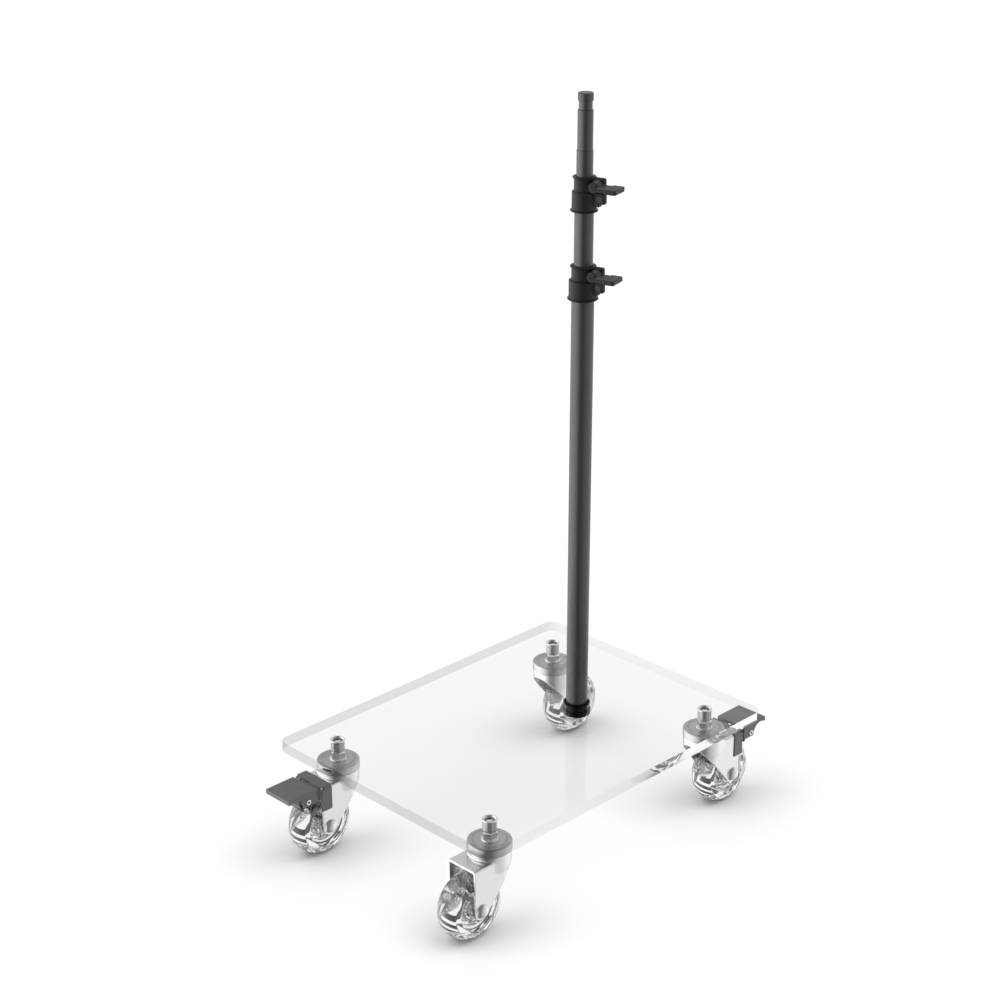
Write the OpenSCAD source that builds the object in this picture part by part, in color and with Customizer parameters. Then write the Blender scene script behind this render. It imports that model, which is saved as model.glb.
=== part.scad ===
// Roller stand for lights: a clear plate on four swivel casters, with a
// three-section pole that slides up and ends in a 5/8 inch spigot.
// Units are millimetres. Z is up, and the floor is at z = 0 under the middle of the plate.

/* [Plate] */
// Width of the clear plate, along X
plate_w = 320; // [260:1:400]
// Length of the clear plate, along Y
plate_l = 420; // [360:1:520]
// Thickness of the clear sheet
plate_t = 12; // [10:0.5:16]
// Radius of the plate's four upright corners
plate_corner_r = 12; // [4:1:24]

/* [Casters] */
// Distance of each caster's stem from both plate edges
caster_inset = 45; // [36:1:60]
// Height of the swivel cap's top above the wheel's axle
head_rise = 62.6; // [60:0.1:66]
// Horizontal distance from the stem to the wheel's axle
caster_trail = 29.3; // [27:0.1:32]
// Diameter of the wheel over its tread
wheel_d = 73; // [68:0.1:75]
// Width of the tyre
tyre_w = 27.6; // [22:0.1:29]
// How much smaller the rounded tread's radius is at the tyre's sides
tread_crown = 6; // [2:0.5:7]
// Radius of the tyre's shoulders, between tread and sides
shoulder_r = 1.5; // [0.5:0.1:2]
// Thickness of the tyre between tread and core
tyre_t = 12.5; // [11:0.5:14]
// Thickness of the web in the clear core
web_t = 9; // [5:0.5:14]
// Outer diameter of each wheel bearing
bearing_d = 22; // [18:1:24]
// Width of each wheel bearing
bearing_w = 7; // [5:0.5:8]
// Diameter of the axle
axle_d = 8; // [6:0.5:9]
// Diameter of the domed heads on the axle
axle_head_d = 16; // [12:0.1:18.5]
// Height of the domed heads on the axle
axle_head_h = 5.5; // [4:0.1:6.5]

/* [Forks] */
// Width over the fork's two legs
fork_w = 39; // [37.4:0.1:42]
// Thickness of the pressed sheet
sheet_t = 2.5; // [2:0.1:2.6]
// Radius of the legs' round lower ends about the axle
leg_end_r = 10; // [9:0.5:12]
// Height of the hood's flat top above the axle
hood_rise = 48.2; // [46:0.1:49]
// Height of the lower rim of the crown's back above the axle
rim_rise = 44.2; // [42:0.1:45]
// Radius of the round crown under the swivel cap
crown_r = 22.3; // [22:0.1:23]
// Thickness of the crown's flat top
crown_t = 3; // [2:0.1:3.4]
// Diameter of the swivel cap
cap_d = 46; // [45:0.1:50]
// Height of the swivel cap
cap_h = 9.2; // [9:0.1:10]
// Thickness of the swivel cap's top
cap_top_t = 4.4; // [4:0.1:5]
// Height of the running gap between the cap's skirt and the crown
cap_gap = 0.4; // [0.3:0.1:0.6]
// Diameter of the swivel balls
ball_d = 6; // [5.6:0.1:6.2]
// Number of balls in each swivel
ball_count = 12; // [6:1:13]
// Radius of the ring that the balls run on
ball_ring_r = 14.5; // [14:0.1:15]
// Diameter of the pin that the crown turns on
kingpin_d = 10; // [8:0.5:12]

/* [Caster stems] */
// Height of the hexagon collar between the cap and the plate
collar_h = 10; // [8:0.5:12]
// Width across the flats of the hexagon collar
collar_af = 14; // [11:0.5:16.5]
// Diameter of the threaded stem in the plate
stem_d = 8; // [6:0.5:9]
// Diameter of the insert in the plate
insert_d = 14.8; // [12:0.1:16]
// Diameter of the insert's rim on the plate's top
insert_rim_d = 16.4; // [15.2:0.1:19]
// Height of the insert's rim on the plate's top
insert_rim_h = 1; // [0.6:0.1:1.6]
// Depth of the stem's end below the plate's top
stem_recess = 1.5; // [0.5:0.1:3]

/* [Brakes] */
// Width over the brake housing's skirts
housing_w = 44; // [43.5:0.1:46]
// Thickness of the housing's top
housing_top_t = 3; // [2.5:0.1:3.4]
// Start of the housing, measured from the stem
housing_in = 28; // [25.5:0.1:30]
// Depth of the housing in front of the hood's edge
housing_lip = 2.2; // [1.6:0.1:2.6]
// Height of the skirts' lower edge above the axle
skirt_rise = 22.4; // [20:0.1:28]
// Distance of the pedal's pivot from the stem
pivot_out = 58.5; // [57:0.1:60]
// Height of the pedal's pivot above the axle
pivot_rise = 40.6; // [40:0.1:41.5]
// Diameter of the pedal's pivot rivet
pivot_d = 4.6; // [3:0.1:5]
// Bore through the pedal's pivot rivet
pivot_bore_d = 2.8; // [1:0.1:2.8]
// Width of the pedal
pedal_w = 38.6; // [38:0.1:40]
// Distance of the pedal's near edge from the stem
pedal_in = 47; // [46:0.1:48]
// Distance of the pedal's far edge from the stem
pedal_out = 84; // [78:0.5:90]
// Height of the pedal's top above the axle
pedal_rise = 51.2; // [50.5:0.1:52]
// Thickness of the pedal's plate
pedal_t = 3; // [2:0.1:3.4]
// Thickness of the pedal's two cheeks
cheek_t = 2.6; // [2:0.1:3]
// Thickness of the housing's two ears
ear_t = 2.6; // [2:0.1:3]
// Width of the steel brake shoe
shoe_w = 22; // [16:0.5:24]
// Thickness of the steel brake shoe
shoe_t = 1.5; // [1:0.1:1.8]

/* [Pole] */
// Place of the pole along X
pole_x = 5; // [-10:1:10]
// Place of the pole along Y
pole_y = 78; // [60:1:100]
// Outer diameter of the lower tube
tube1_d = 23.5; // [23:0.1:25]
// Outer diameter of the middle tube
tube2_d = 19.7; // [19.4:0.1:20]
// Outer diameter of the top tube
tube3_d = 16.9; // [16.7:0.1:17]
// Wall of the lower tube
wall1 = 1.2; // [1:0.1:1.4]
// Wall of the middle and top tubes
wall2 = 1; // [0.8:0.1:1.1]
// Height of the lower collar's underside above the plate
collar1_rise = 461.5; // [400:0.5:520]
// Height of the upper collar's underside above the lower collar's
collar2_rise = 91.8; // [60:0.1:200]
// Length of the middle tube below the upper collar's step
tube2_l = 480; // [420:1:500]
// Length of the top tube below its shoulder
tube3_l = 470; // [400:1:480]
// Height of the top tube's shoulder above the upper collar's top
shoulder_rise = 26.6; // [10:0.1:60]

/* [Spigot] */
// Diameter of the spigot, the 5/8 inch size of light fittings
spigot_d = 15.88; // [15.8:0.01:16]
// Length of the spigot's plain body
spigot_body_l = 40.6; // [30:0.1:50]
// Length of the spigot's groove
groove_l = 8.4; // [6:0.1:10]
// Diameter of the spigot's groove
groove_d = 13.8; // [11:0.1:14.4]
// Length of the spigot's head above the groove
spigot_head_l = 8; // [5:0.1:10]
// Chamfer on the spigot's edges
spigot_chamfer = 0.8; // [0.4:0.1:1]
// Length of the spigot's plug inside the top tube
spigot_plug_l = 25; // [15:1:35]

/* [Pole foot] */
// Diameter of the dark flange on the plate's top
flange_d = 29; // [28.5:0.1:32]
// Height of the flange on the plate's top
flange_h = 1.2; // [0.8:0.1:2]
// Diameter of the socket's neck in the plate
neck_d = 27; // [26.6:0.1:27.4]
// Diameter of the ring nut let into the plate's underside
ring_nut_d = 30.4; // [29.4:0.1:34]
// Height of the ring nut
ring_nut_h = 5; // [4:0.1:6]
// Thickness of the socket's floor under the tube
floor_t = 3; // [3:0.1:4]
// Height of the plug inside the lower tube
foot_plug_h = 22; // [16:1:30]
// Diameter of the screw that draws the plug down
foot_screw_d = 8; // [6:0.5:8]
// Length of the screw's thread in the plug
foot_screw_l = 14; // [10:1:16]

/* [Collars] */
// Direction of the collars' ears, turned from +X towards +Y
ear_angle = 16; // [0:1:45]
// Wall of the sleeve round the outer tube
sleeve_wall = 2.9; // [2.4:0.1:3.4]
// Height of the sleeve round the outer tube
sleeve_h = 20; // [19:0.1:22]
// Height of the sleeve round the inner tube, slope included
neck_h = 15.6; // [15.4:0.1:17]
// Height of the slope between the two sleeves
slope_h = 1.6; // [1:0.1:2]
// Wall of the sleeve round the inner tube, outside its liner
neck_wall = 1.3; // [1.2:0.1:1.4]
// Thickness of the liner round the inner tube
liner_t = 1; // [0.9:0.1:1.1]
// How far the flange and the rim stand out
bead_out = 1.4; // [1:0.1:1.6]
// Height of the flange and the rim
bead_h = 2; // [1.6:0.1:2.4]
// How far the ears reach from the pole's axis
ear_reach = 24.2; // [23.6:0.1:26]
// Thickness over both ears
ears_t = 6.8; // [6.4:0.1:7.4]
// Width of the clamping slit
slit_w = 0.8; // [0.6:0.1:1]
// Height of the lower ears
low_ear_h = 11.5; // [11:0.1:12]
// Height of the upper ears
top_ear_h = 13.6; // [13:0.1:14]
// Distance of both clamp screws from the pole's axis
screw_reach = 17.9; // [17.5:0.1:18.2]
// Diameter of both clamp screws
screw_d = 4; // [3:0.1:4.2]
// Width across the flats of the nut in its pocket
nut_af = 7; // [6:0.1:7.2]
// Thickness of the nut in its pocket
nut_t = 2; // [1.6:0.1:2.2]

/* [Levers] */
// Diameter of the lever's hub
hub_d = 11; // [10:0.1:11.4]
// Length of the lever's hub along its screw
hub_l = 13; // [11:0.5:15]
// Distance of the lever's tip from its screw
lever_reach = 29; // [22:0.5:32]
// Width of the lever's paddle along its screw
paddle_w = 21; // [16:0.5:22]
// Thickness of the lever's paddle
paddle_t = 3.6; // [3:0.1:4.4]
// Length of the thicker pad at the paddle's tip
pad_l = 13; // [9:0.5:15]
// How far the pad stands out beyond the paddle on each side
pad_out = 0.7; // [0.4:0.1:1]
// Slope of the paddle at rest
lever_slope = 0; // [-6:1:12]

/* [Hidden] */

$fn = 64;
// Clearance of a running or sliding fit, on the radius
fit = 0.05;
// Clearance between faces that pass each other
gap = 0.3;
// How far a cut runs past the face that it opens
over = 1;

// Caster places: the sign of X, then the sign of Y, which is also the way the wheel trails
LEFT = [-1, -1];
RIGHT = [1, 1];
FRONT = [1, -1];
BACK = [-1, 1];
CORNERS = [LEFT, RIGHT, FRONT, BACK];

// Heights, from the floor up
wheel_r = wheel_d / 2;
cap_top = wheel_r + head_rise;
cap_bottom = cap_top - cap_h;
cap_roof = cap_top - cap_top_t;
crown_top = cap_bottom - cap_gap;
crown_roof = crown_top - crown_t;
hood_top = wheel_r + hood_rise;
crown_rim = wheel_r + rim_rise;
plate_z = cap_top + collar_h;
plate_top = plate_z + plate_t;

// Wheel
core_r = wheel_r - tyre_t;
leg_in = fork_w / 2 - sheet_t;
core_half = leg_in - gap;
rim_half = tyre_w / 2 - 1;
boss_r = bearing_d / 2 + 3;

// Fork
hood_reach = caster_trail + leg_end_r;
waist_z = wheel_r + head_rise - 30;
bend_z = crown_top - 6;
leg_back = 8;

// Pole, from the plate up
tube1_r = tube1_d / 2;
tube2_r = tube2_d / 2;
tube3_r = tube3_d / 2;
collar_total = sleeve_h + neck_h;
collar1_z = plate_top + collar1_rise;
collar2_z = collar1_z + collar2_rise;
tube1_z = plate_z + floor_t;
tube1_end = collar1_z + sleeve_h - gap;
tube2_end = collar2_z + sleeve_h - gap;
tube2_z = tube2_end - tube2_l;
shoulder_z = collar2_z + collar_total + shoulder_rise;
tube3_z = shoulder_z - tube3_l;
spigot_r = spigot_d / 2;
groove_z = shoulder_z + spigot_body_l;
head_z = groove_z + groove_l;
pole_top = head_z + spigot_head_l;
bush_h = 16;
bush_lip = 2;

// Places of the two clamp screws, from the collar's underside
low_ear_z = 9;
low_screw_z = low_ear_z + low_ear_h / 2 - 1;
top_ear_z = collar_total - top_ear_h;
top_screw_z = top_ear_z + top_ear_h / 2;
ear_corner_r = 2;
pocket_depth = 2.2;

// Brake
housing_top = hood_top + housing_top_t;
housing_out = hood_reach + housing_lip;
housing_in_x = fork_w / 2 + gap / 2;
skirt_z = wheel_r + skirt_rise;
pivot_z = wheel_r + pivot_rise;
pedal_top = wheel_r + pedal_rise;
pedal_under = pedal_top - pedal_t;
cheek_in = pedal_w / 2 - cheek_t;
ear_out = cheek_in - gap;
ear_round = 5.4;
shoe_clearance = 2;

// Where the straight back edge of a fork leg touches its round end
function tangent_angle(p, c, r) = atan2(p.y - c.y, p.x - c.x) + acos(r / norm(p - c));
axle_at = [caster_trail, wheel_r];
leg_start = [-leg_back, crown_rim];
leg_touch_r = leg_end_r - fit;
leg_touch = tangent_angle(leg_start, axle_at, leg_touch_r);

// Shared shapes

module rod(r, z0, z1) {
    translate([0, 0, z0]) cylinder(r = r, h = z1 - z0);
}

module ring(ro, ri, z0, z1) {
    difference() {
        rod(ro, z0, z1);
        rod(ri, z0 - over, z1 + over);
    }
}

// A rod along X, between two places on X
module rod_x(r, x0, x1) {
    translate([x0, 0, 0]) rotate([0, 90, 0]) cylinder(r = r, h = x1 - x0);
}

// A flat shape drawn as Y and Z, given a thickness along X from x0 to x1
module side_plate(x0, x1) {
    translate([x0, 0, 0]) rotate([90, 0, 90]) linear_extrude(x1 - x0) children();
}

module both_sides() {
    children();
    mirror([1, 0, 0]) children();
}

module rounded_rectangle(w, l, r) {
    square([w - 2 * r, l], center = true);
    square([w, l - 2 * r], center = true);
    for (x = [-1, 1], y = [-1, 1])
        translate([x * (w / 2 - r), y * (l / 2 - r)]) circle(r);
}

// Places a caster, drawn with its stem on Z and its wheel trailing along +Y
module at_caster(corner) {
    place = [plate_w / 2 - caster_inset, plate_l / 2 - caster_inset];
    translate([corner.x * place.x, corner.y * place.y, 0]) rotate(corner.y > 0 ? 0 : 180) children();
}

module at_axle() {
    translate([0, caster_trail, wheel_r]) children();
}

module at_pivot() {
    translate([0, pivot_out, pivot_z]) children();
}

module at_pole(z = 0) {
    translate([pole_x, pole_y, z]) children();
}

// Base

module acrylic_plate() {
    color([0.93, 0.94, 0.94, 0.4]) difference() {
        translate([0, 0, plate_z]) linear_extrude(plate_t) rounded_rectangle(plate_w, plate_l, plate_corner_r);
        for (corner = CORNERS) at_caster(corner) rod(insert_d / 2 + fit, plate_z - over, plate_top + over);
        at_pole() rod(neck_d / 2 + fit, plate_z - over, plate_top + over);
        at_pole() rod(ring_nut_d / 2 + fit, plate_z - over, plate_z + ring_nut_h);
    }
}

module plate_inserts() {
    color("silver") for (corner = CORNERS) at_caster(corner) difference() {
        union() {
            rod(insert_d / 2, plate_z, plate_top);
            rod(insert_rim_d / 2, plate_top, plate_top + insert_rim_h);
        }
        rod(stem_d / 2 + fit, plate_z - over, plate_top + insert_rim_h + over);
    }
}

// Threaded stem, hexagon collar and the pin that the crown turns on, riveted over below
module caster_stems() {
    foot_h = 1.4;
    rivet_h = 3;
    color("gainsboro") for (corner = CORNERS) at_caster(corner) {
        rod(stem_d / 2, cap_top, plate_top - stem_recess);
        translate([0, 0, cap_top]) cylinder(d = collar_af / cos(30), h = collar_h, $fn = 6);
        rod(collar_af / 2 + 2, cap_top, cap_top + foot_h);
        rod(kingpin_d / 2, crown_roof - gap - rivet_h, cap_top);
        rod(kingpin_d / 2 + 3, crown_roof - gap - rivet_h, crown_roof - gap);
    }
}

// Groove that the balls run in
module ball_groove() {
    z = (crown_top + cap_roof) / 2;
    translate([0, 0, z]) rotate_extrude() translate([ball_ring_r, 0]) circle(ball_d / 2 + fit);
}

module swivel_caps() {
    edge_r = 1.6;
    step_r = 17.4;
    step_w = 1.2;
    step_h = 0.7;
    skirt_t = 2.6;
    outer = cap_d / 2;
    corner = [for (a = [0:18:90]) [outer - edge_r + edge_r * cos(a), cap_top - edge_r + edge_r * sin(a)]];
    groove = [[step_r + step_w, cap_top], [step_r + step_w / 2, cap_top - step_h], [step_r, cap_top]];
    roof = [[0, cap_top], [0, cap_roof], [outer - skirt_t, cap_roof], [outer - skirt_t, cap_bottom]];
    color("lightgray") for (corner_at = CORNERS) at_caster(corner_at) difference() {
        rotate_extrude() polygon(concat([[outer, cap_bottom]], corner, groove, roof));
        ball_groove();
        rod(kingpin_d / 2, cap_bottom - over, cap_top + over);
    }
}

module pole_socket() {
    color("dimgray") at_pole() difference() {
        union() {
            rod(neck_d / 2, plate_z, plate_top);
            rod(flange_d / 2, plate_top, plate_top + flange_h);
        }
        rod(tube1_r + fit, tube1_z, plate_top + flange_h + over);
        foot_screw_shape(fit);
    }
}

module ring_nut() {
    notch_w = 3;
    color("dimgray") at_pole() difference() {
        rod(ring_nut_d / 2, plate_z, plate_z + ring_nut_h);
        rod(neck_d / 2 + fit, plate_z - over, plate_z + ring_nut_h + over);
        for (a = [0:90:270])
            rotate(a) translate([ring_nut_d / 2 - 1, -notch_w / 2, plate_z - over]) cube([2, notch_w, 1 + over]);
    }
}

// Countersunk screw, drawn larger all round by a clearance to cut its hole
module foot_screw_shape(c) {
    r = foot_screw_d / 2;
    translate([0, 0, plate_z]) cylinder(r1 = r + floor_t - 0.5 + c, r2 = r + c, h = floor_t - 0.5);
    rod(r + c, plate_z, tube1_z + foot_screw_l);
}

module foot_screw() {
    color("silver") at_pole() difference() {
        foot_screw_shape(0);
        translate([0, 0, plate_z - over]) cylinder(d = 5, h = over + 2, $fn = 6);
    }
}

module foot_plug() {
    color("gray") at_pole() difference() {
        rod(tube1_r - wall1 - fit, tube1_z, tube1_z + foot_plug_h);
        rod(foot_screw_d / 2 + fit, tube1_z - over, tube1_z + foot_plug_h + over);
    }
}

// Pole

module lower_tube() {
    color("#4a4a4a") at_pole() ring(tube1_r, tube1_r - wall1, tube1_z, tube1_end);
}

module middle_tube() {
    color("#4a4a4a") at_pole() ring(tube2_r, tube2_r - wall2, tube2_z, tube2_end);
}

module top_tube() {
    color("#4a4a4a") at_pole() ring(tube3_r, tube3_r - wall2, tube3_z, shoulder_z);
}

// Guide bush pushed on the lower end of a sliding tube
module guide_bush(z, tube_r, wall, bore_r) {
    difference() {
        union() {
            rod(bore_r - fit, z - bush_lip, z);
            rod(tube_r - wall - fit, z - bush_lip, z + bush_h);
        }
        rod(tube_r - wall - 2, z - bush_lip - over, z + bush_h + over);
    }
}

module middle_bush() {
    color("#222222") at_pole() guide_bush(tube2_z, tube2_r, wall2, tube1_r - wall1);
}

module top_bush() {
    color("#222222") at_pole() guide_bush(tube3_z, tube3_r, wall2, tube2_r - wall2);
}

module spigot() {
    c = spigot_chamfer;
    neck = groove_d / 2;
    plug = tube3_r - wall2 - fit;
    color("#4a4a4a") at_pole() rotate_extrude() polygon([
        [0, shoulder_z - spigot_plug_l], [plug, shoulder_z - spigot_plug_l], [plug, shoulder_z],
        [spigot_r, shoulder_z], [spigot_r, groove_z - c], [neck, groove_z], [neck, head_z],
        [spigot_r, head_z], [spigot_r, pole_top - c], [spigot_r - c, pole_top], [0, pole_top]]);
}

// Collars: the lower sleeve grips the outer tube and the neck grips the inner one

module ear_block(z, h, reach) {
    translate([0, -ears_t / 2, z + ear_corner_r]) cube([reach, ears_t, h - 2 * ear_corner_r]);
    translate([0, -ears_t / 2, z]) cube([reach - ear_corner_r, ears_t, h]);
    for (side = [ear_corner_r, h - ear_corner_r])
        translate([reach - ear_corner_r, -ears_t / 2, z + side]) rotate([-90, 0, 0]) cylinder(r = ear_corner_r, h = ears_t);
}

module screw_hole(z, r) {
    translate([screw_reach, -ears_t, z]) rotate([-90, 0, 0]) cylinder(r = r, h = 2 * ears_t);
}

// Pockets for the nut on the near ear and the screw's head on the far ear
module nut_pocket(z) {
    translate([screw_reach, -ears_t / 2 - over, z]) rotate([-90, 30, 0])
        cylinder(d = nut_af / cos(30) + 2 * fit, h = over + pocket_depth, $fn = 6);
    translate([screw_reach, ears_t / 2 - pocket_depth, z]) rotate([-90, 0, 0])
        cylinder(r = nut_af / 2 + fit, h = pocket_depth + over);
}

module collar_shape(outer_r, inner_r) {
    sleeve = outer_r + sleeve_wall;
    neck = inner_r + liner_t + neck_wall;
    top = collar_total;
    web_h = 3;
    difference() {
        union() {
            rotate_extrude() polygon([
                [0, 0], [sleeve + bead_out - 0.5, 0], [sleeve + bead_out, 0.5], [sleeve + bead_out, bead_h - 0.6],
                [sleeve, bead_h], [sleeve, sleeve_h], [neck, sleeve_h + slope_h],
                [neck, top - bead_h - 0.8], [neck + bead_out, top - bead_h + 0.6], [neck + bead_out, top - 0.5],
                [neck + bead_out - 0.5, top], [0, top]]);
            ear_block(low_ear_z, low_ear_h, ear_reach);
            ear_block(top_ear_z, top_ear_h, ear_reach - 0.6);
            translate([0, -ears_t / 2, low_ear_z - web_h]) cube([ear_reach - 6, ears_t, web_h + over]);
        }
        rod(outer_r, -over, sleeve_h);
        rod(inner_r + liner_t, sleeve_h - over, top - 1);
        rod(inner_r + gap, 0, top + over);
        translate([0, -slit_w / 2, -over]) cube([ear_reach + over, slit_w, top + 2 * over]);
        screw_hole(low_screw_z, screw_d / 2 + fit);
        screw_hole(top_screw_z, screw_d / 2 + fit);
        nut_pocket(low_screw_z);
    }
}

// Split liner between the neck and the sliding tube
module liner_shape(inner_r) {
    slot_w = 2;
    difference() {
        ring(inner_r + liner_t, inner_r + fit, sleeve_h, collar_total - 1);
        translate([0, -slot_w / 2, 0]) cube([inner_r + 2 * liner_t, slot_w, collar_total]);
    }
}

module collar_screw_shape() {
    head_t = 1.8;
    translate([screw_reach, ears_t / 2 - pocket_depth, low_screw_z]) rotate([-90, 0, 0])
        cylinder(r = nut_af / 2, h = head_t);
    translate([screw_reach, -ears_t / 2 + 0.4, low_screw_z]) rotate([-90, 0, 0])
        cylinder(r = screw_d / 2, h = ears_t - pocket_depth);
}

module collar_nut_shape() {
    translate([screw_reach, -ears_t / 2 + pocket_depth - nut_t, low_screw_z]) rotate([-90, 30, 0]) difference() {
        cylinder(d = nut_af / cos(30), h = nut_t, $fn = 6);
        translate([0, 0, -over]) cylinder(r = screw_d / 2 + fit, h = nut_t + 2 * over);
    }
}

// Clamp screw of the neck, with its head on the far ear and its thread in the lever
module clamp_screw_shape() {
    head_t = 2.6;
    translate([screw_reach, ears_t / 2, top_screw_z]) rotate([-90, 0, 0]) cylinder(r = nut_af / 2, h = head_t);
    translate([screw_reach, -ears_t / 2 - gap - hub_l + 2, top_screw_z]) rotate([-90, 0, 0])
        cylinder(r = screw_d / 2, h = ears_t + gap + hub_l - 2 + over);
}

// Lever drawn with its screw on Y and its paddle along X
module lever_shape() {
    near = -ears_t / 2 - gap;
    half_w = paddle_w / 2;
    mid = near - half_w - pad_out;
    pad_in = lever_reach - pad_l;
    pad_t = paddle_t + 2 * pad_out;
    tip_r = 2;
    root = hub_d / 2 - 1.5;
    rotate([0, -lever_slope, 0]) difference() {
        union() {
            translate([0, near - hub_l, 0]) rotate([-90, 0, 0]) cylinder(r = hub_d / 2, h = hub_l);
            translate([root, mid - half_w, -paddle_t / 2]) cube([pad_in - root + over, paddle_w, paddle_t]);
            translate([pad_in, mid, -pad_t / 2]) linear_extrude(pad_t) difference() {
                translate([pad_l / 2, 0]) rounded_rectangle(pad_l, paddle_w + 2 * pad_out, tip_r);
                translate([-over, -paddle_w]) square([over, 2 * paddle_w]);
            }
        }
        translate([0, near + over, 0]) rotate([90, 0, 0]) cylinder(r = screw_d / 2 + fit, h = hub_l - 1.5 + over);
    }
}

module at_collar(z) {
    at_pole(z) rotate(ear_angle) children();
}

module lower_collar() {
    color("#2b2b2b") at_collar(collar1_z) collar_shape(tube1_r, tube2_r);
}

module lower_liner() {
    color("#555555") at_collar(collar1_z) liner_shape(tube2_r);
}

module lower_collar_screw() {
    color("silver") at_collar(collar1_z) collar_screw_shape();
}

module lower_collar_nut() {
    color("silver") at_collar(collar1_z) collar_nut_shape();
}

module lower_clamp_screw() {
    color("silver") at_collar(collar1_z) clamp_screw_shape();
}

module lower_lever() {
    color("#2b2b2b") at_collar(collar1_z) translate([screw_reach, 0, top_screw_z]) lever_shape();
}

module upper_collar() {
    color("#2b2b2b") at_collar(collar2_z) collar_shape(tube2_r, tube3_r);
}

module upper_liner() {
    color("#555555") at_collar(collar2_z) liner_shape(tube3_r);
}

module upper_collar_screw() {
    color("silver") at_collar(collar2_z) collar_screw_shape();
}

module upper_collar_nut() {
    color("silver") at_collar(collar2_z) collar_nut_shape();
}

module upper_clamp_screw() {
    color("silver") at_collar(collar2_z) clamp_screw_shape();
}

module upper_lever() {
    color("#2b2b2b") at_collar(collar2_z) translate([screw_reach, 0, top_screw_z]) lever_shape();
}

// Caster parts, drawn with the stem on Z and the wheel trailing along +Y

// Round crown that narrows to the width of the legs
module crown_shape(inset, roof) {
    r0 = fork_w / 2 - inset;
    r1 = crown_r - inset;
    bend = [for (a = [0:15:90]) [r0 + (r1 - r0) * sin(a), waist_z + (bend_z - waist_z) * (1 - cos(a))]];
    rotate_extrude() polygon(concat([[0, 0], [r0, 0]], bend, [[r1, roof], [0, roof]]));
}

module leg_outline() {
    touch = axle_at + leg_touch_r * [cos(leg_touch), sin(leg_touch)];
    polygon([[-crown_r - over, crown_top + over], [-crown_r - over, crown_rim], leg_start, touch, axle_at,
        [hood_reach, axle_at.y], [hood_reach, crown_top + over]]);
    translate(axle_at) circle(leg_end_r);
}

module fork_shape() {
    half = fork_w / 2;
    difference() {
        intersection() {
            union() {
                crown_shape(0, crown_top);
                translate([-half, 0, 0]) cube([fork_w, hood_reach, hood_top]);
            }
            side_plate(-crown_r - over, crown_r + over) leg_outline();
        }
        crown_shape(sheet_t, crown_roof);
        translate([-leg_in, 0, -over]) cube([2 * leg_in, hood_reach + over, hood_top - sheet_t + over]);
        rod(kingpin_d / 2 + fit, crown_roof - over, crown_top + over);
        ball_groove();
        at_axle() rod_x(axle_d / 2 + fit, -fork_w, fork_w);
    }
}

module fork(corner) {
    color("whitesmoke") at_caster(corner) fork_shape();
}

module swivel_balls(corner) {
    z = (crown_top + cap_roof) / 2;
    color("silver") at_caster(corner) for (i = [0:ball_count - 1])
        rotate(i * 360 / ball_count) translate([ball_ring_r, 0, z]) sphere(d = ball_d);
}

// Domed head: a slice of a sphere that is axle_head_d wide and axle_head_h high
module axle_dome() {
    dome_r = (pow(axle_head_d / 2, 2) + pow(axle_head_h, 2)) / (2 * axle_head_h);
    translate([fork_w / 2, 0, 0]) rotate([0, 90, 0]) intersection() {
        translate([0, 0, axle_head_h - dome_r]) sphere(r = dome_r);
        cylinder(r = axle_head_d / 2, h = axle_head_h + over);
    }
}

module axle(corner) {
    color("whitesmoke") at_caster(corner) at_axle() {
        rod_x(axle_d / 2, -fork_w / 2 - over, fork_w / 2 + over);
        both_sides() axle_dome();
    }
}

// Turns a profile drawn as radius and width into a solid of revolution along X
module turned_x() {
    rotate([0, 90, 0]) rotate_extrude() children();
}

module tyre(corner) {
    half = tyre_w / 2;
    tread_r = (pow(half, 2) + pow(tread_crown, 2)) / (2 * tread_crown);
    tread_at = wheel_r - tread_r;
    inner = half - shoulder_r;
    lean = asin(inner / (tread_r - shoulder_r));
    shoulder_at = tread_at + (tread_r - shoulder_r) * cos(lean);
    shoulder = [for (i = [0:4]) let (a = 90 - i * (90 - lean) / 4) [shoulder_at + shoulder_r * cos(a), inner + shoulder_r * sin(a)]];
    tread = [for (i = [5:-1:0]) let (a = lean * i / 6) [tread_at + tread_r * cos(a), tread_r * sin(a)]];
    near = concat([[core_r, rim_half], [core_r + 2, half]], shoulder, tread);
    far = [for (i = [len(near) - 2:-1:0]) [near[i].x, -near[i].y]];
    color([0.9, 0.9, 0.9, 0.5]) at_caster(corner) at_axle() turned_x() polygon(concat(near, far));
}

module wheel_core(corner) {
    web = web_t / 2;
    rim_in = core_r - 3;
    seat = bearing_d / 2;
    bore = axle_d / 2 + 1.5;
    bearing_in = core_half - bearing_w;
    near = [[bore, 0], [bore, bearing_in], [seat, bearing_in], [seat, core_half], [boss_r, core_half],
        [boss_r, web + 2], [boss_r + 1, web], [rim_in - 2, web], [rim_in, rim_half], [core_r, rim_half]];
    far = [for (i = [len(near) - 1:-1:1]) [near[i].x, -near[i].y]];
    color([0.9, 0.9, 0.9, 0.5]) at_caster(corner) at_axle() turned_x() polygon(concat(near, far));
}

module bearings(corner) {
    color("silver") at_caster(corner) at_axle() both_sides() difference() {
        rod_x(bearing_d / 2, core_half - bearing_w, core_half);
        rod_x(axle_d / 2 + fit, 0, fork_w);
    }
}

// Brakes

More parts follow.
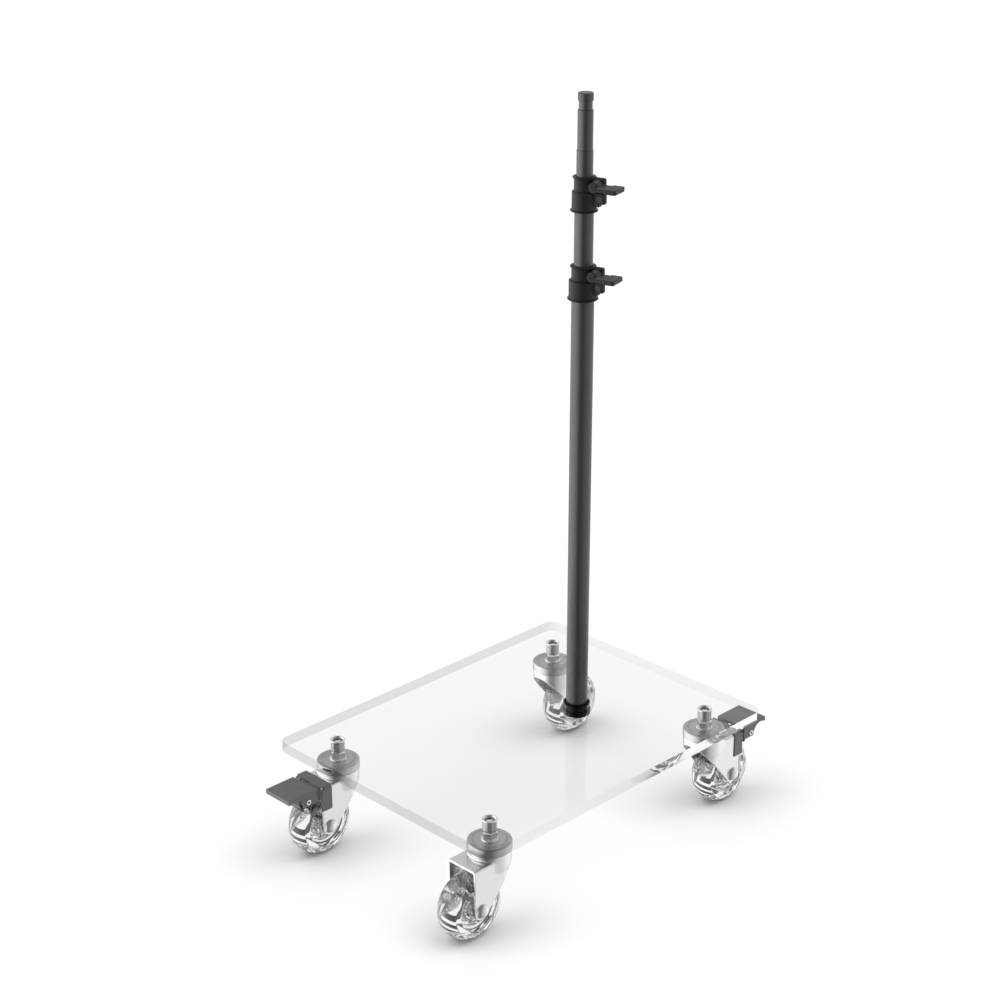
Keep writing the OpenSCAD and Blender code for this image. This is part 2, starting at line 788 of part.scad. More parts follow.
// Top, skirts and the two ears that carry the pedal
module brake_housing(corner) {
    half = housing_w / 2;
    web_z = pivot_z - ear_round;
    color("#555555") at_caster(corner) difference() {
        union() {
            translate([-half, housing_in, hood_top]) cube([housing_w, housing_out - housing_in, housing_top_t]);
            both_sides() translate([housing_in_x, housing_in, skirt_z])
                cube([half - housing_in_x, housing_out - housing_in, housing_top - skirt_z]);
            both_sides() translate([ear_out - ear_t, hood_reach + gap / 2, web_z])
                cube([half - ear_out + ear_t, housing_out - hood_reach - gap / 2, housing_top - web_z]);
            both_sides() side_plate(ear_out - ear_t, ear_out) {
                translate([hood_reach + gap / 2, web_z]) square([pivot_out - hood_reach, 2 * ear_round]);
                translate([pivot_out, pivot_z]) circle(ear_round);
            }
        }
        at_pivot() rod_x(pivot_d / 2 + fit, -half, half);
    }
}

module brake_rivet(corner) {
    head_t = 0.7;
    color("silver") at_caster(corner) at_pivot() difference() {
        union() {
            rod_x(pivot_d / 2, -pedal_w / 2 - gap, pedal_w / 2 + gap);
            both_sides() rod_x(pivot_d / 2 + 0.7, pedal_w / 2 + gap, pedal_w / 2 + gap + head_t);
        }
        rod_x(pivot_bore_d / 2, -pedal_w, pedal_w);
    }
}

// Plate with two cheeks that turn on the rivet; the cheeks' outer edge is scooped under the toe
module brake_pedal(corner) {
    cheek_z = pivot_z - ear_round;
    scoop_r = pedal_under - cheek_z;
    scoop_at = pivot_out + ear_round + scoop_r;
    color("#606060") at_caster(corner) difference() {
        union() {
            translate([-pedal_w / 2, pedal_in, pedal_under]) cube([pedal_w, pedal_out - pedal_in, pedal_t]);
            both_sides() side_plate(cheek_in, pedal_w / 2) difference() {
                translate([pedal_in, cheek_z]) square([scoop_at - pedal_in, pedal_under - cheek_z + 0.5]);
                translate([scoop_at, cheek_z]) circle(scoop_r);
            }
        }
        at_pivot() rod_x(pivot_d / 2 + fit, -pedal_w, pedal_w);
    }
}

// Steel strip under the pedal, bent round in front of the rivet and down to press on the tread
module brake_shoe(corner) {
    tip_angle = 42;
    tip = axle_at + (wheel_r + shoe_clearance) * [cos(tip_angle), sin(tip_angle)];
    drop_in = pivot_out + pivot_d / 2 + 1.5;
    knee_z = pivot_z - pivot_d - 1;
    top_out = pedal_out - 10;
    color("lightgray") at_caster(corner) side_plate(-shoe_w / 2, shoe_w / 2) polygon([
        [drop_in, pedal_under], [top_out, pedal_under], [top_out, pedal_under - shoe_t],
        [drop_in + shoe_t, pedal_under - shoe_t], [drop_in + shoe_t, knee_z - shoe_t / 2],
        [tip.x + shoe_t, tip.y], [tip.x, tip.y], [tip.x, tip.y + shoe_t], [drop_in, knee_z]]);
}

acrylic_plate();
plate_inserts();
caster_stems();
swivel_caps();
pole_socket();
ring_nut();
foot_plug();
foot_screw();
lower_tube();
lower_collar();
lower_liner();
lower_collar_screw();
lower_collar_nut();
lower_clamp_screw();
fork(LEFT);  // fork_left
swivel_balls(LEFT);  // swivel_balls_left
axle(LEFT);  // axle_left
brake_housing(LEFT);  // brake_housing_left
brake_rivet(LEFT);  // brake_rivet_left
brake_pedal(LEFT);  // brake_pedal_left
brake_shoe(LEFT);  // brake_shoe_left
tyre(LEFT);  // tyre_left
wheel_core(LEFT);  // wheel_core_left
bearings(LEFT);  // bearings_left
fork(RIGHT);  // fork_right
swivel_balls(RIGHT);  // swivel_balls_right
axle(RIGHT);  // axle_right
brake_housing(RIGHT);  // brake_housing_right
brake_rivet(RIGHT);  // brake_rivet_right
brake_pedal(RIGHT);  // brake_pedal_right
brake_shoe(RIGHT);  // brake_shoe_right
tyre(RIGHT);  // tyre_right
wheel_core(RIGHT);  // wheel_core_right
bearings(RIGHT);  // bearings_right
fork(FRONT);  // fork_front
swivel_balls(FRONT);  // swivel_balls_front
axle(FRONT);  // axle_front
tyre(FRONT);  // tyre_front
wheel_core(FRONT);  // wheel_core_front
bearings(FRONT);  // bearings_front
fork(BACK);  // fork_back
swivel_balls(BACK);  // swivel_balls_back
axle(BACK);  // axle_back
tyre(BACK);  // tyre_back
wheel_core(BACK);  // wheel_core_back
bearings(BACK);  // bearings_back
middle_tube();
middle_bush();
upper_collar();
upper_liner();
upper_collar_screw();
upper_collar_nut();
upper_clamp_screw();
top_tube();
top_bush();
spigot();
lower_lever();
upper_lever();
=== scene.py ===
import math

import bmesh
import bpy
import numpy as np
from mathutils import Matrix, Vector


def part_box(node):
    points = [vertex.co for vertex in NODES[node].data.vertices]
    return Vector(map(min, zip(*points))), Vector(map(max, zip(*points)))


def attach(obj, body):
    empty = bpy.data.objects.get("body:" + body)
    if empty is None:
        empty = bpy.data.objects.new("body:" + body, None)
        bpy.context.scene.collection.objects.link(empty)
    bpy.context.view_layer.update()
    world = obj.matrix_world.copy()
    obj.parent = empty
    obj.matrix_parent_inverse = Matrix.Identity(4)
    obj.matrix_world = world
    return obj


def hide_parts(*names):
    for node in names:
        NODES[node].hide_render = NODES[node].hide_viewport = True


bl_info = {
    "name": "Roller stand for lights",
    "version": (1, 0, 0),
    "blender": (4, 5, 0),
    "location": "3D View > Sidebar > Roller Stand",
    "description": "Builds the finished surfaces of a clear roller stand round its CAD frame",
    "category": "Object",
}

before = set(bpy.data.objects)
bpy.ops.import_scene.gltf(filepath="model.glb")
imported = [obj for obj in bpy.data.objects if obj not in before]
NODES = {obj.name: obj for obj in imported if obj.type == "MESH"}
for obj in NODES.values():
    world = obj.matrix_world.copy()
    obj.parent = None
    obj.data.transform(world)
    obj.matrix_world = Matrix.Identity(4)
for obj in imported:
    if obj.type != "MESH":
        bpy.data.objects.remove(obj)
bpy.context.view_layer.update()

# Sizes are in millimetres, as in the part's source, and meshes are made in metres.
MM = 0.001

# Casters: name, then the way that the wheel trails along Y
CORNERS = {"left": -1, "right": 1, "front": -1, "back": 1}
BRAKED = ("left", "right")

CAP_TOP, CAP_BOTTOM, CAP_ROOF = 99.1, 89.9, 94.7
CROWN_TOP, CROWN_ROOF, CROWN_R = 89.5, 86.5, 22.3
CROWN_RIM = 80.7
FORK_HALF, SHEET = 19.5, 2.5
HOOD_TOP, HOOD_REACH = 84.7, 39.3
AXLE_Y, AXLE_Z, AXLE_R = 29.3, 36.5, 4.0
LEG_END_R = 10.0
WHEEL_R, TYRE_HALF, CORE_R = 36.5, 13.8, 24.0
HUB_HALF = 16.7
PIVOT_Y, PIVOT_Z, PIVOT_R = 58.5, 77.1, 2.3
PEDAL_HALF, PEDAL_TOP = 19.3, 87.7
PLATE_Z, PLATE_TOP, PLATE_CORNER_R = 109.1, 121.1, 12.0
STUD_R, KING_PIN_R = 4.0, 5.0
INSERT_R, INSERT_RIM_R, RIM_H = 7.4, 8.2, 1.0
SOCKET_R, NUT_R, NUT_H = 13.6, 15.3, 5.0
TUBE_R = {"lower_tube": 11.75, "middle_tube": 9.85, "top_tube": 8.45}
EAR_ANGLE = math.radians(16)
SCREW_R, SCREW_REACH, LOW_SCREW_Z, TOP_SCREW_Z = 2.0, 17.9, 13.75, 28.8
COLLAR_TOP, SLEEVE_H = 35.6, 20.0

# A clear solid: light goes through it and its surface is polished
CLEAR = {"Transmission Weight": 1.0, "Roughness": 0.0}

# How far a bore's radius is from its pin's: wider where they run, narrower where they are pressed
FIT = 0.05

# What metal sees of the studio: how bright it is all round, then each soft lamp as azimuth and
# elevation in degrees, cosines of where it starts and where it is full, and how much it adds
STUDIO_DIM = 0.24
STUDIO_LAMPS = (
    (-47, -5, 0.3, 1.0, 2.3),
    (135, -10, 0.2, 0.95, 0.72),
    (225, 45, 0.72, 0.92, 0.5),
    (190, -12, 0.45, 0.9, 0.4),
)

# What a ray bent by the clear wheels sees: dark and bright panels side by side. The azimuth that
# they are lined up along, the phase per unit of direction and at its middle, where the sine of
# that phase turns from dark to bright, and how bright the two kinds are.
PANEL_AZIMUTH, PANEL_RATE, PANEL_SHIFT = -45, 14, 0.7
PANEL_EDGE, PANEL_DARK, PANEL_BRIGHT = (0.1, 0.35), 0.08, 1.1

# Lamps on the object: name, azimuth, elevation and how wide each looks, in degrees
LAMPS = (("key_lamp", -40, 60, 44), ("fill_lamp", 130, 64, 44))

# In metres: the camera's place, solved from the plate, casters and pole, then how far off the
# lamps stand and half the floor's side
CAMERA_PLACE = (1.43884, -1.46827, 1.22784)
LAMP_AWAY, FLOOR_HALF = 3.0, 8.0

# Light has to cross many clear surfaces in a wheel before it comes out again.
BOUNCES = 24


# Places

def centre(node):
    """Middle of a CAD node's box, in metres."""
    low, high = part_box(node)
    return (low + high) / 2


def caster_matrix(corner):
    """The caster's own place: stem on Z, floor at 0, wheel trailing along +Y."""
    spot = centre("swivel_balls_" + corner)
    turn = 0 if CORNERS[corner] > 0 else math.pi
    return Matrix.Translation((spot.x, spot.y, 0)) @ Matrix.Rotation(turn, 4, "Z")


def axle_matrix(corner):
    """The wheel's own place: its axle on Z, which points along the caster's X."""
    shift = Matrix.Translation((0, AXLE_Y * MM, AXLE_Z * MM))
    return caster_matrix(corner) @ shift @ Matrix.Rotation(math.pi / 2, 4, "Y")


def pole_matrix(z=0.0):
    """The pole's own place: its middle on Z, at height z in metres."""
    spot = centre("lower_tube")
    return Matrix.Translation((spot.x, spot.y, z))


def collar_matrix(node):
    """The collar's own place: pole on Z from the collar's underside, ears along +X."""
    return pole_matrix(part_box(node)[0].z) @ Matrix.Rotation(EAR_ANGLE, 4, "Z")


# Mesh tools

def rounded(points, steps=5):
    """Corner points (u, v) or (u, v, radius); a corner with a radius becomes an arc."""
    made = []
    count = len(points)
    for i, p in enumerate(points):
        here = Vector(p[:2])
        if len(p) < 3 or p[2] <= 0:
            made.append(tuple(here))
            continue
        a = (Vector(points[i - 1][:2]) - here).normalized()
        b = (Vector(points[(i + 1) % count][:2]) - here).normalized()
        half = a.angle(b) / 2
        middle = here + (a + b).normalized() * (p[2] / math.sin(half))
        start = here + a * (p[2] / math.tan(half)) - middle
        sweep = (math.pi - 2 * half) * (1 if a.cross(b) < 0 else -1)
        for k in range(steps + 1):
            made.append(tuple(middle + Matrix.Rotation(sweep * k / steps, 2) @ start))
    return made


def finish_mesh(name, points, faces, angle=32):
    """A mesh in metres from points in millimetres, smooth where it bends less than angle."""
    mesh = bpy.data.meshes.new(name)
    mesh.from_pydata([tuple(c * MM for c in p) for p in points], [], faces)
    form = bmesh.new()
    form.from_mesh(mesh)
    bmesh.ops.remove_doubles(form, verts=form.verts, dist=1e-7)
    bmesh.ops.recalc_face_normals(form, faces=form.faces)
    form.to_mesh(mesh)
    form.free()
    mesh.shade_smooth()
    mesh.set_sharp_from_angle(angle=math.radians(angle))
    return mesh


def turned(name, profile, steps=96):
    """Turns a closed profile of (radius, height, corner radius) about Z."""
    line = rounded(profile)
    count = len(line)
    points, faces = [], []
    for i in range(steps):
        c, s = math.cos(2 * math.pi * i / steps), math.sin(2 * math.pi * i / steps)
        points += [(r * c, r * s, z) for r, z in line]
        here, there = i * count, (i + 1) % steps * count
        for k in range(count):
            n = (k + 1) % count
            if line[k][0] < 1e-6 and line[n][0] < 1e-6:
                continue
            ring = [here + k, there + k, there + n, here + n]
            if line[k][0] < 1e-6:
                ring.remove(there + k)
            if line[n][0] < 1e-6:
                ring.remove(there + n)
            faces.append(ring)
    return finish_mesh(name, points, faces)


def below(half):
    """The mirror image of a half profile's points under height 0, last point first."""
    return [(p[0], -p[1], *p[2:]) for p in reversed(half) if p[1] > 1e-9]


# Solid shapes as distance fields, negative inside. Lengths are in millimetres.

def joined(a, b, r):
    """a and b together, with a fillet of radius r where they meet."""
    return np.maximum(r, np.minimum(a, b)) - np.hypot(np.maximum(r - a, 0), np.maximum(r - b, 0))


def shared(a, b, r):
    """What a and b both hold, with its edges rounded to radius r."""
    return np.minimum(-r, np.maximum(a, b)) + np.hypot(np.maximum(r + a, 0), np.maximum(r + b, 0))


def cut(a, b, r):
    """a with b taken out, and the new edges rounded to radius r."""
    return shared(a, -b, r)


def block(p, low, high, r):
    """A box between two corners, with its edges rounded to radius r."""
    q = [abs(v - (a + b) / 2) - (b - a) / 2 + r for v, a, b in zip(p, low, high)]
    out = np.sqrt(sum(np.maximum(v, 0) ** 2 for v in q))
    return out + np.minimum(np.maximum(np.maximum(q[0], q[1]), q[2]), 0) - r


def outline(u, v, corners):
    """Distance to a closed polygon in the plane of u and v."""
    d, sign = np.full(u.shape, 1e18), np.ones(u.shape)
    for (ax, ay), (bx, by) in zip(corners, corners[1:] + corners[:1]):
        ex, ey, wx, wy = ax - bx, ay - by, u - bx, v - by
        length = ex * ex + ey * ey
        if length < 1e-12:
            continue
        t = np.clip((wx * ex + wy * ey) / length, 0, 1)
        d = np.minimum(d, (wx - ex * t) ** 2 + (wy - ey * t) ** 2)
        above, below, side = v >= by, v < ay, ex * wy > ey * wx
        flip = (above & below & side) | ~(above | below | side)
        sign = np.where(flip, -sign, sign)
    return sign * np.sqrt(d)


def hexagon(u, v, half):
    """Distance to six flats round the middle, two of them square to u."""
    return np.maximum(abs(u), abs(u) * 0.5 + abs(v) * 0.866) - half


def moulded(name, field, low, high, step):
    """Skins a distance field between two corners, then seats each point on it exactly."""
    axes = [np.arange(a - 1.5 * step, b + 2.5 * step, step) for a, b in zip(low, high)]
    d = field(*np.meshgrid(*axes, indexing="ij"))
    shape = np.array(d.shape)
    cells, spots, quads = [], [], []
    for axis in range(3):
        near = np.moveaxis(d, axis, 0)[:-1]
        far = np.moveaxis(d, axis, 0)[1:]
        found = np.argwhere((near < 0) != (far < 0))
        a, b = near[tuple(found.T)], far[tuple(found.T)]
        at = np.insert(found[:, 1:], axis, found[:, 0], axis=1)
        spot = at.astype(float)
        spot[:, axis] += a / (a - b)
        u, v = (axis + 1) % 3, (axis + 2) % 3
        ring = []
        for du, dv in ((0, 0), (-1, 0), (-1, -1), (0, -1)):
            cell = at.copy()
            cell[:, u] += du
            cell[:, v] += dv
            ring.append(np.ravel_multi_index(cell.T, shape))
        quad = np.stack(ring, 1)
        quad[a > 0] = quad[a > 0][:, ::-1]
        cells += ring
        spots += [spot] * 4
        quads.append(quad)
    ids, place = np.unique(np.concatenate(cells), return_inverse=True)
    spots = np.concatenate(spots)
    many = np.bincount(place)
    p = np.stack([np.bincount(place, spots[:, k]) / many for k in range(3)])
    p = p * step + np.array([a[0] for a in axes])[:, None]
    for _ in range(4):
        slope = gradient(field, p)
        p = p - np.clip(field(*p) / np.maximum((slope**2).sum(0), 0.25), -step / 2, step / 2) * slope
    slope = gradient(field, p)
    normals = (slope / np.maximum(np.linalg.norm(slope, axis=0), 1e-9)).T
    mesh = bpy.data.meshes.new(name)
    faces = np.searchsorted(ids, np.concatenate(quads))
    mesh.from_pydata((p.T * MM).tolist(), [], faces.tolist())
    mesh.shade_smooth()
    mesh.normals_split_custom_set_from_vertices(normals.tolist())
    return mesh


def gradient(field, p, e=0.02):
    """Slope of a distance field at points p, from steps of e along each axis."""
    rows = []
    for k in range(3):
        shift = np.zeros((3, 1))
        shift[k] = e
        rows.append((field(*(p + shift)) - field(*(p - shift))) / (2 * e))
    return np.array(rows)


def new_object(name, data):
    """An object in the scene that shows a mesh, a lamp or a camera."""
    made = bpy.data.objects.new(name, data)
    bpy.context.scene.collection.objects.link(made)
    return made


def add_piece(name, mesh, body, nodes, slot, material, matrix=Matrix.Identity(4)):
    """Puts a mesh in place, on its body, instead of its CAD nodes."""
    piece = new_object(name, mesh)
    piece.matrix_world = matrix
    # The photo shows no shadow of the clear sheet.
    piece.visible_shadow = slot != "clear_acrylic"
    if not mesh.materials:
        mesh.materials.append(material)
    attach(piece, body)
    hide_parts(*nodes)
    return piece


def add_at(corner, name, mesh, body, node, slot, material, matrix):
    """Adds a piece whose name, body and node all end in the name of a corner."""
    end = "_" + corner
    return add_piece(name + end, mesh, body + end, [node + end], slot, material, matrix)


def paint(node, material):
    """Gives a carried-over CAD node its material."""
    piece = NODES[node]
    piece.data.materials.clear()
    piece.data.materials.append(material)


def gathered(name, mesh, matrices):
    """One mesh that holds a copy of mesh at each place."""
    form = bmesh.new()
    for matrix in matrices:
        copy = mesh.copy()
        copy.transform(matrix)
        form.from_mesh(copy)
        bpy.data.meshes.remove(copy)
    whole = bpy.data.meshes.new(name)
    form.to_mesh(whole)
    form.free()
    whole.shade_smooth()
    whole.set_sharp_from_angle(angle=math.radians(32))
    return whole


# Materials

def linear(code):
    """An sRGB hex value such as #4A4A4A, as linear red, green and blue."""
    values = [int(code[i:i + 2], 16) / 255 for i in (1, 3, 5)]
    return tuple(v / 12.92 if v <= 0.04045 else ((v + 0.055) / 1.055) ** 2.4 for v in values)


def add_node(tree, kind, inputs=None, **settings):
    """Adds a node with its settings; an input is a value, or a socket or node to link from."""
    made = tree.nodes.new(kind)
    for key, value in settings.items():
        setattr(made, key, value)
    for key, value in (inputs or {}).items():
        if isinstance(value, bpy.types.Node):
            value = next(socket for socket in value.outputs if socket.enabled)
        if isinstance(value, bpy.types.NodeSocket):
            tree.links.new(value, made.inputs[key])
        else:
            made.inputs[key].default_value = value
    return made


def new_material(name, colour, **values):
    """A material with one Principled shader, and its object coordinates in millimetres."""
    material = bpy.data.materials.new(name)
    material.use_nodes = True
    tree = material.node_tree
    tree.nodes.clear()
    shader = add_node(tree, "ShaderNodeBsdfPrincipled", {"Base Color": (*colour, 1), **values})
    add_node(tree, "ShaderNodeOutputMaterial", {"Surface": shader})
    where = add_node(tree, "ShaderNodeTexCoord").outputs["Object"]
    scaled = add_node(tree, "ShaderNodeVectorMath", {0: where, 1: [1 / MM] * 3}, operation="MULTIPLY")
    return material, tree, shader, scaled


def mix_shaders(tree, share, first, second):
    """Ends a material in a share of its second shader over its first."""
    both = add_node(tree, "ShaderNodeMixShader", {0: share, 1: first, 2: second})
    end = next(n for n in tree.nodes if n.type == "OUTPUT_MATERIAL")
    tree.links.new(both.outputs[0], end.inputs["Surface"])


def vary(tree, where, size, low, high, stretch=(1, 1, 1), detail=2.0):
    """Noise with grains of about size millimetres, spread from low to high."""
    scaled = add_node(tree, "ShaderNodeVectorMath", {0: where, 1: stretch}, operation="MULTIPLY")
    noise = add_node(tree, "ShaderNodeTexNoise", {"Vector": scaled, "Scale": 1 / size, "Detail": detail})
    spread = add_node(tree, "ShaderNodeMapRange", {
        "Value": noise, "From Min": 0.25, "From Max": 0.75, "To Min": low, "To Max": high})
    return spread.outputs[0]


def dent(tree, shader, height, depth):
    """Bump from a height of 0 to 1 that is depth millimetres deep."""
    bump = add_node(tree, "ShaderNodeBump", {"Height": height, "Distance": depth * MM, "Strength": 1.0})
    tree.links.new(bump.outputs[0], shader.inputs["Normal"])


def cast_acrylic(colour, edge):
    # PMMA cast between glass sheets, edges polished. As in the photo, what lies below shows in
    # its place, so light goes straight through: the flat faces add a faint mirror of the pole,
    # the edges take a grey tint as painted shade, most where they face front left, and the right
    # edge bends what is behind it into upright streaks from bent_from on, in millimetres along Y.
    # A face counts as level, or as the right one, where more than these shares of its normal
    # point up or down, or to the right.
    ior, bent_from, level_share, right_share = 1.49, -5.0, 0.95, 0.98
    material, tree, shader, where = new_material("Cast acrylic, polished", colour, IOR=ior, **CLEAR)
    geometry = add_node(tree, "ShaderNodeNewGeometry").outputs
    outside = add_node(tree, "ShaderNodeMapRange", {
        "Value": geometry["Backfacing"], "To Min": 1.0, "To Max": -1.0})
    outward = add_node(
        tree, "ShaderNodeVectorMath", {0: geometry["Normal"], "Scale": outside}, operation="SCALE")
    sides = add_node(tree, "ShaderNodeSeparateXYZ", {0: outward}).outputs
    steep = add_node(tree, "ShaderNodeMath", {0: sides["Z"]}, operation="ABSOLUTE")
    face = add_node(tree, "ShaderNodeMath", {0: steep, 1: level_share}, operation="GREATER_THAN")

    # Painted shade: an edge takes the edge colour, fully where it faces front left and 0.3 of it where it
    # faces back right.
    facing = add_node(
        tree, "ShaderNodeVectorMath", {0: outward, 1: (0.707, 0.707, 0)}, operation="DOT_PRODUCT")
    left = add_node(tree, "ShaderNodeMapRange", {
        "Value": facing, "From Min": 0.7, "From Max": -0.6, "To Min": 0.3})
    share = add_node(tree, "ShaderNodeMix", {0: face, 2: left, 3: 0.0})
    tint = add_node(tree, "ShaderNodeMix", {0: share, "A": (*colour, 1), "B": (*edge, 1)}, data_type="RGBA")
    through = add_node(tree, "ShaderNodeBsdfTransparent", {"Color": tint})
    mirror = add_node(tree, "ShaderNodeFresnel", {"IOR": ior})
    mirror = add_node(tree, "ShaderNodeMath", {0: mirror, 1: outside}, operation="MULTIPLY", use_clamp=True)
    mirror = add_node(tree, "ShaderNodeMath", {0: mirror, 1: face}, operation="MULTIPLY")
    gloss = add_node(tree, "ShaderNodeBsdfGlossy", {"Roughness": 0.0})
    window = add_node(tree, "ShaderNodeMixShader", {0: mirror, 1: through, 2: gloss})

    right = add_node(tree, "ShaderNodeMath", {0: sides["X"], 1: right_share}, operation="GREATER_THAN")
    along = add_node(tree, "ShaderNodeSeparateXYZ", {0: where}).outputs["Y"]
    beyond = add_node(tree, "ShaderNodeMath", {0: along, 1: bent_from}, operation="GREATER_THAN")
    bends = add_node(tree, "ShaderNodeMath", {0: right, 1: beyond}, operation="MULTIPLY")
    mix_shaders(tree, bends, window, shader)
    return material


def cast_polyurethane(colour):
    # Clear PU poured round the core: glassy, a little softer in its shine than the core.
    material, tree, shader, where = new_material("Clear polyurethane, cast", colour, IOR=1.5, **CLEAR)
    dent(tree, shader, vary(tree, where, 12, 0, 1, detail=0.0), 0.004)
    return material


def moulded_polycarbonate(colour):
    # Injection-moulded PC: water clear with faint sinks over its thick hub.
    material, tree, shader, where = new_material(
        "Clear polycarbonate, moulded", colour, IOR=1.58, **CLEAR)
    dent(tree, shader, vary(tree, where, 9, 0, 1, detail=0.0), 0.004)
    return material


def plated_steel(name, colour, low, high, grain, depth):
    # Nickel and chrome over pressed or turned steel: bright metal whose blur varies with the
    # polish below, and a shallow orange peel.
    material, tree, shader, where = new_material(name, colour, Metallic=1.0)
    tree.links.new(vary(tree, where, grain, low, high), shader.inputs["Roughness"])
    dent(tree, shader, vary(tree, where, grain / 3, 0, 1), depth)
    return material


def knurled_steel(rim, body):
    # Steel insert, zinc plated over a straight knurl. Inside the sheet the sleeve is painted darker
    # than its rim as painted shade in its bore, with fine upright lines, drawn coarser than real
    # ones so that they show, whose grooves are painted darker still as painted shade; the lines also
    # bump the surface. Only the rim keeps the plating's bright colour.
    material, tree, shader, where = new_material(
        "Zinc-plated steel, knurled", rim, Metallic=1.0, Roughness=0.2)
    # Painted shade: the knurl's grooves are tinted to 0.45 of the sleeve's colour.
    groove = [c * 0.45 for c in body]
    height = add_node(tree, "ShaderNodeSeparateXYZ", {0: where}).outputs["Z"]
    # Painted shade: below the sheet's top, inside the bore, the sleeve takes the darker colour.
    sleeve = add_node(tree, "ShaderNodeMapRange", {
        "Value": height, "From Min": PLATE_TOP + 0.1, "From Max": PLATE_TOP - 0.2})
    line = vary(tree, where, 2.2, 0.0, 1.0, stretch=(1, 1, 0.08))
    shade = add_node(tree, "ShaderNodeMix", {0: line, "A": (*groove, 1), "B": (*body, 1)}, data_type="RGBA")
    painted_shade_skin = add_node(tree, "ShaderNodeMix", {0: sleeve, "A": (*rim, 1), "B": shade}, data_type="RGBA")
    tree.links.new(painted_shade_skin.outputs["Result"], shader.inputs["Base Color"])
    dent(tree, shader, line, 0.05)
    return material


def anodised_aluminium(name, colour, low, high):
    # Drawn tube, etched and dyed dark: satin, with drawing lines along its length.
    material, tree, shader, where = new_material(name, colour, Metallic=0.85)
    drawn = vary(tree, where, 0.5, low, high, stretch=(1, 1, 0.02))
    tree.links.new(drawn, shader.inputs["Roughness"])
    dent(tree, shader, drawn, 0.01)
    return material


def moulded_nylon(name, colour, low, high, ior=1.53, grain=0.6):
    # Glass-filled nylon from a spark-eroded mould: matt grain that softens every highlight.
    material, tree, shader, where = new_material(name, colour, IOR=ior)
    tree.links.new(vary(tree, where, 6, low, high), shader.inputs["Roughness"])
    dent(tree, shader, vary(tree, where, grain, 0, 1, detail=3.0), 0.03)
    return material


# Properties

def colour_property(name, description, code):
    return bpy.props.FloatVectorProperty(
        name=name, description=description, default=linear(code), subtype="COLOR", min=0, max=1)


class StandPlate(bpy.types.PropertyGroup):
    tint: colour_property("Tint", "Colour of the clear sheet", "#FAFAFA")
    # Painted shade: the grey that tints the sheet's edges, most those that face front left.
    edge: colour_property("Edge", "Colour of the sheet's shaded edges, at the left", "#E2E2E2")
    chamfer: bpy.props.FloatProperty(
        name="Edge chamfer", description="Width of the polished chamfer round the sheet's edges",
        default=0.0005, min=0.0001, max=0.002, unit="LENGTH")


class StandCasters(bpy.types.PropertyGroup):
    plating: colour_property("Plating", "Colour of the plated forks, axles and stems", "#DCDCDC")
    # Painted shade: the darker colour of the sleeves inside the sheet's bores, below their bright rims.
    insert: colour_property("Insert", "Colour of the knurled sleeves in the sheet", "#A8A8A8")
    cap: colour_property("Swivel cap", "Colour of the plated swivel caps", "#B4B4B4")
    tread: colour_property("Tyre", "Colour of the clear tyres", "#EEEEEE")
    core: colour_property("Core", "Colour of the clear wheel cores", "#EEEEEE")
    brake: colour_property("Brake", "Colour of the brake housings and pedals", "#545454")


class StandPole(bpy.types.PropertyGroup):
    tube: colour_property("Tube", "Colour of the anodised tubes and spigot", "#525254")
    foot: colour_property("Foot", "Colour of the blackened socket in the plate", "#1C1C1D")
    collar: colour_property("Collar", "Colour of the moulded collars and levers", "#1B1B1C")


class StandStage(bpy.types.PropertyGroup):
    floor: colour_property("Floor", "Colour of the floor", "#FFFFFF")
    light: bpy.props.FloatProperty(
        name="Sky light", description="Strength of the light from all round", default=0.64, min=0, max=2)
    key: bpy.props.FloatProperty(
        name="Key light", description="Share of the floor's light from the soft lamp at the left",
        default=0.21, min=0, max=2)
    fill: bpy.props.FloatProperty(
        name="Fill light", description="Share of the floor's light from the soft lamp at the right",
        default=0.21, min=0, max=2)
    lens: bpy.props.FloatProperty(
        name="Lens", description="Focal length of the camera, in millimetres", default=77.6, min=20, max=300)
    azimuth: bpy.props.FloatProperty(
        name="Azimuth", description="Direction that the camera stands in",
        default=math.radians(45.13), subtype="ANGLE")
    elevation: bpy.props.FloatProperty(
        name="Elevation", description="Angle of the camera above the floor",
        default=math.radians(22.36), subtype="ANGLE")


# Operators

class STAND_OT_plate(bpy.types.Operator):
    """Build the clear plate and the inserts that hold the casters' stems"""
    bl_idname = "stand.plate"
    bl_label = "Clear Plate"

    def execute(self, context):
        props = context.scene.stand_plate
        low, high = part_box("acrylic_plate")
        chamfer = props.chamfer / MM
        holes = [(centre("swivel_balls_" + c) / MM, INSERT_R - FIT, INSERT_R - FIT) for c in CORNERS]
        holes.append((centre("lower_tube") / MM, SOCKET_R - FIT, NUT_R - FIT))
        mesh = plate_mesh(low / MM, high / MM, holes, chamfer)
        add_piece("plate_sheet", mesh, "base", ["acrylic_plate"], "clear_acrylic",
                  cast_acrylic(props.tint, props.edge))
        casters = context.scene.stand_casters
        bore, rim_top = STUD_R + FIT, PLATE_TOP + RIM_H
        insert = turned("insert", [
            (bore, PLATE_Z), (INSERT_R, PLATE_Z, 0.2), (INSERT_R, PLATE_TOP), (INSERT_RIM_R, PLATE_TOP, 0.1),
            (INSERT_RIM_R, rim_top, 0.45), (6.6, rim_top, 0.4), (5.6, PLATE_TOP - 0.2, 0.3),
            (bore, PLATE_TOP - 0.2)])
        whole = gathered("plate_insert_rings", insert, [caster_matrix(c) for c in CORNERS])
        knurled = knurled_steel(casters.plating, casters.insert)
        add_piece("plate_insert_rings", whole, "base", ["plate_inserts"], "zinc_steel", knurled)
        return {"FINISHED"}


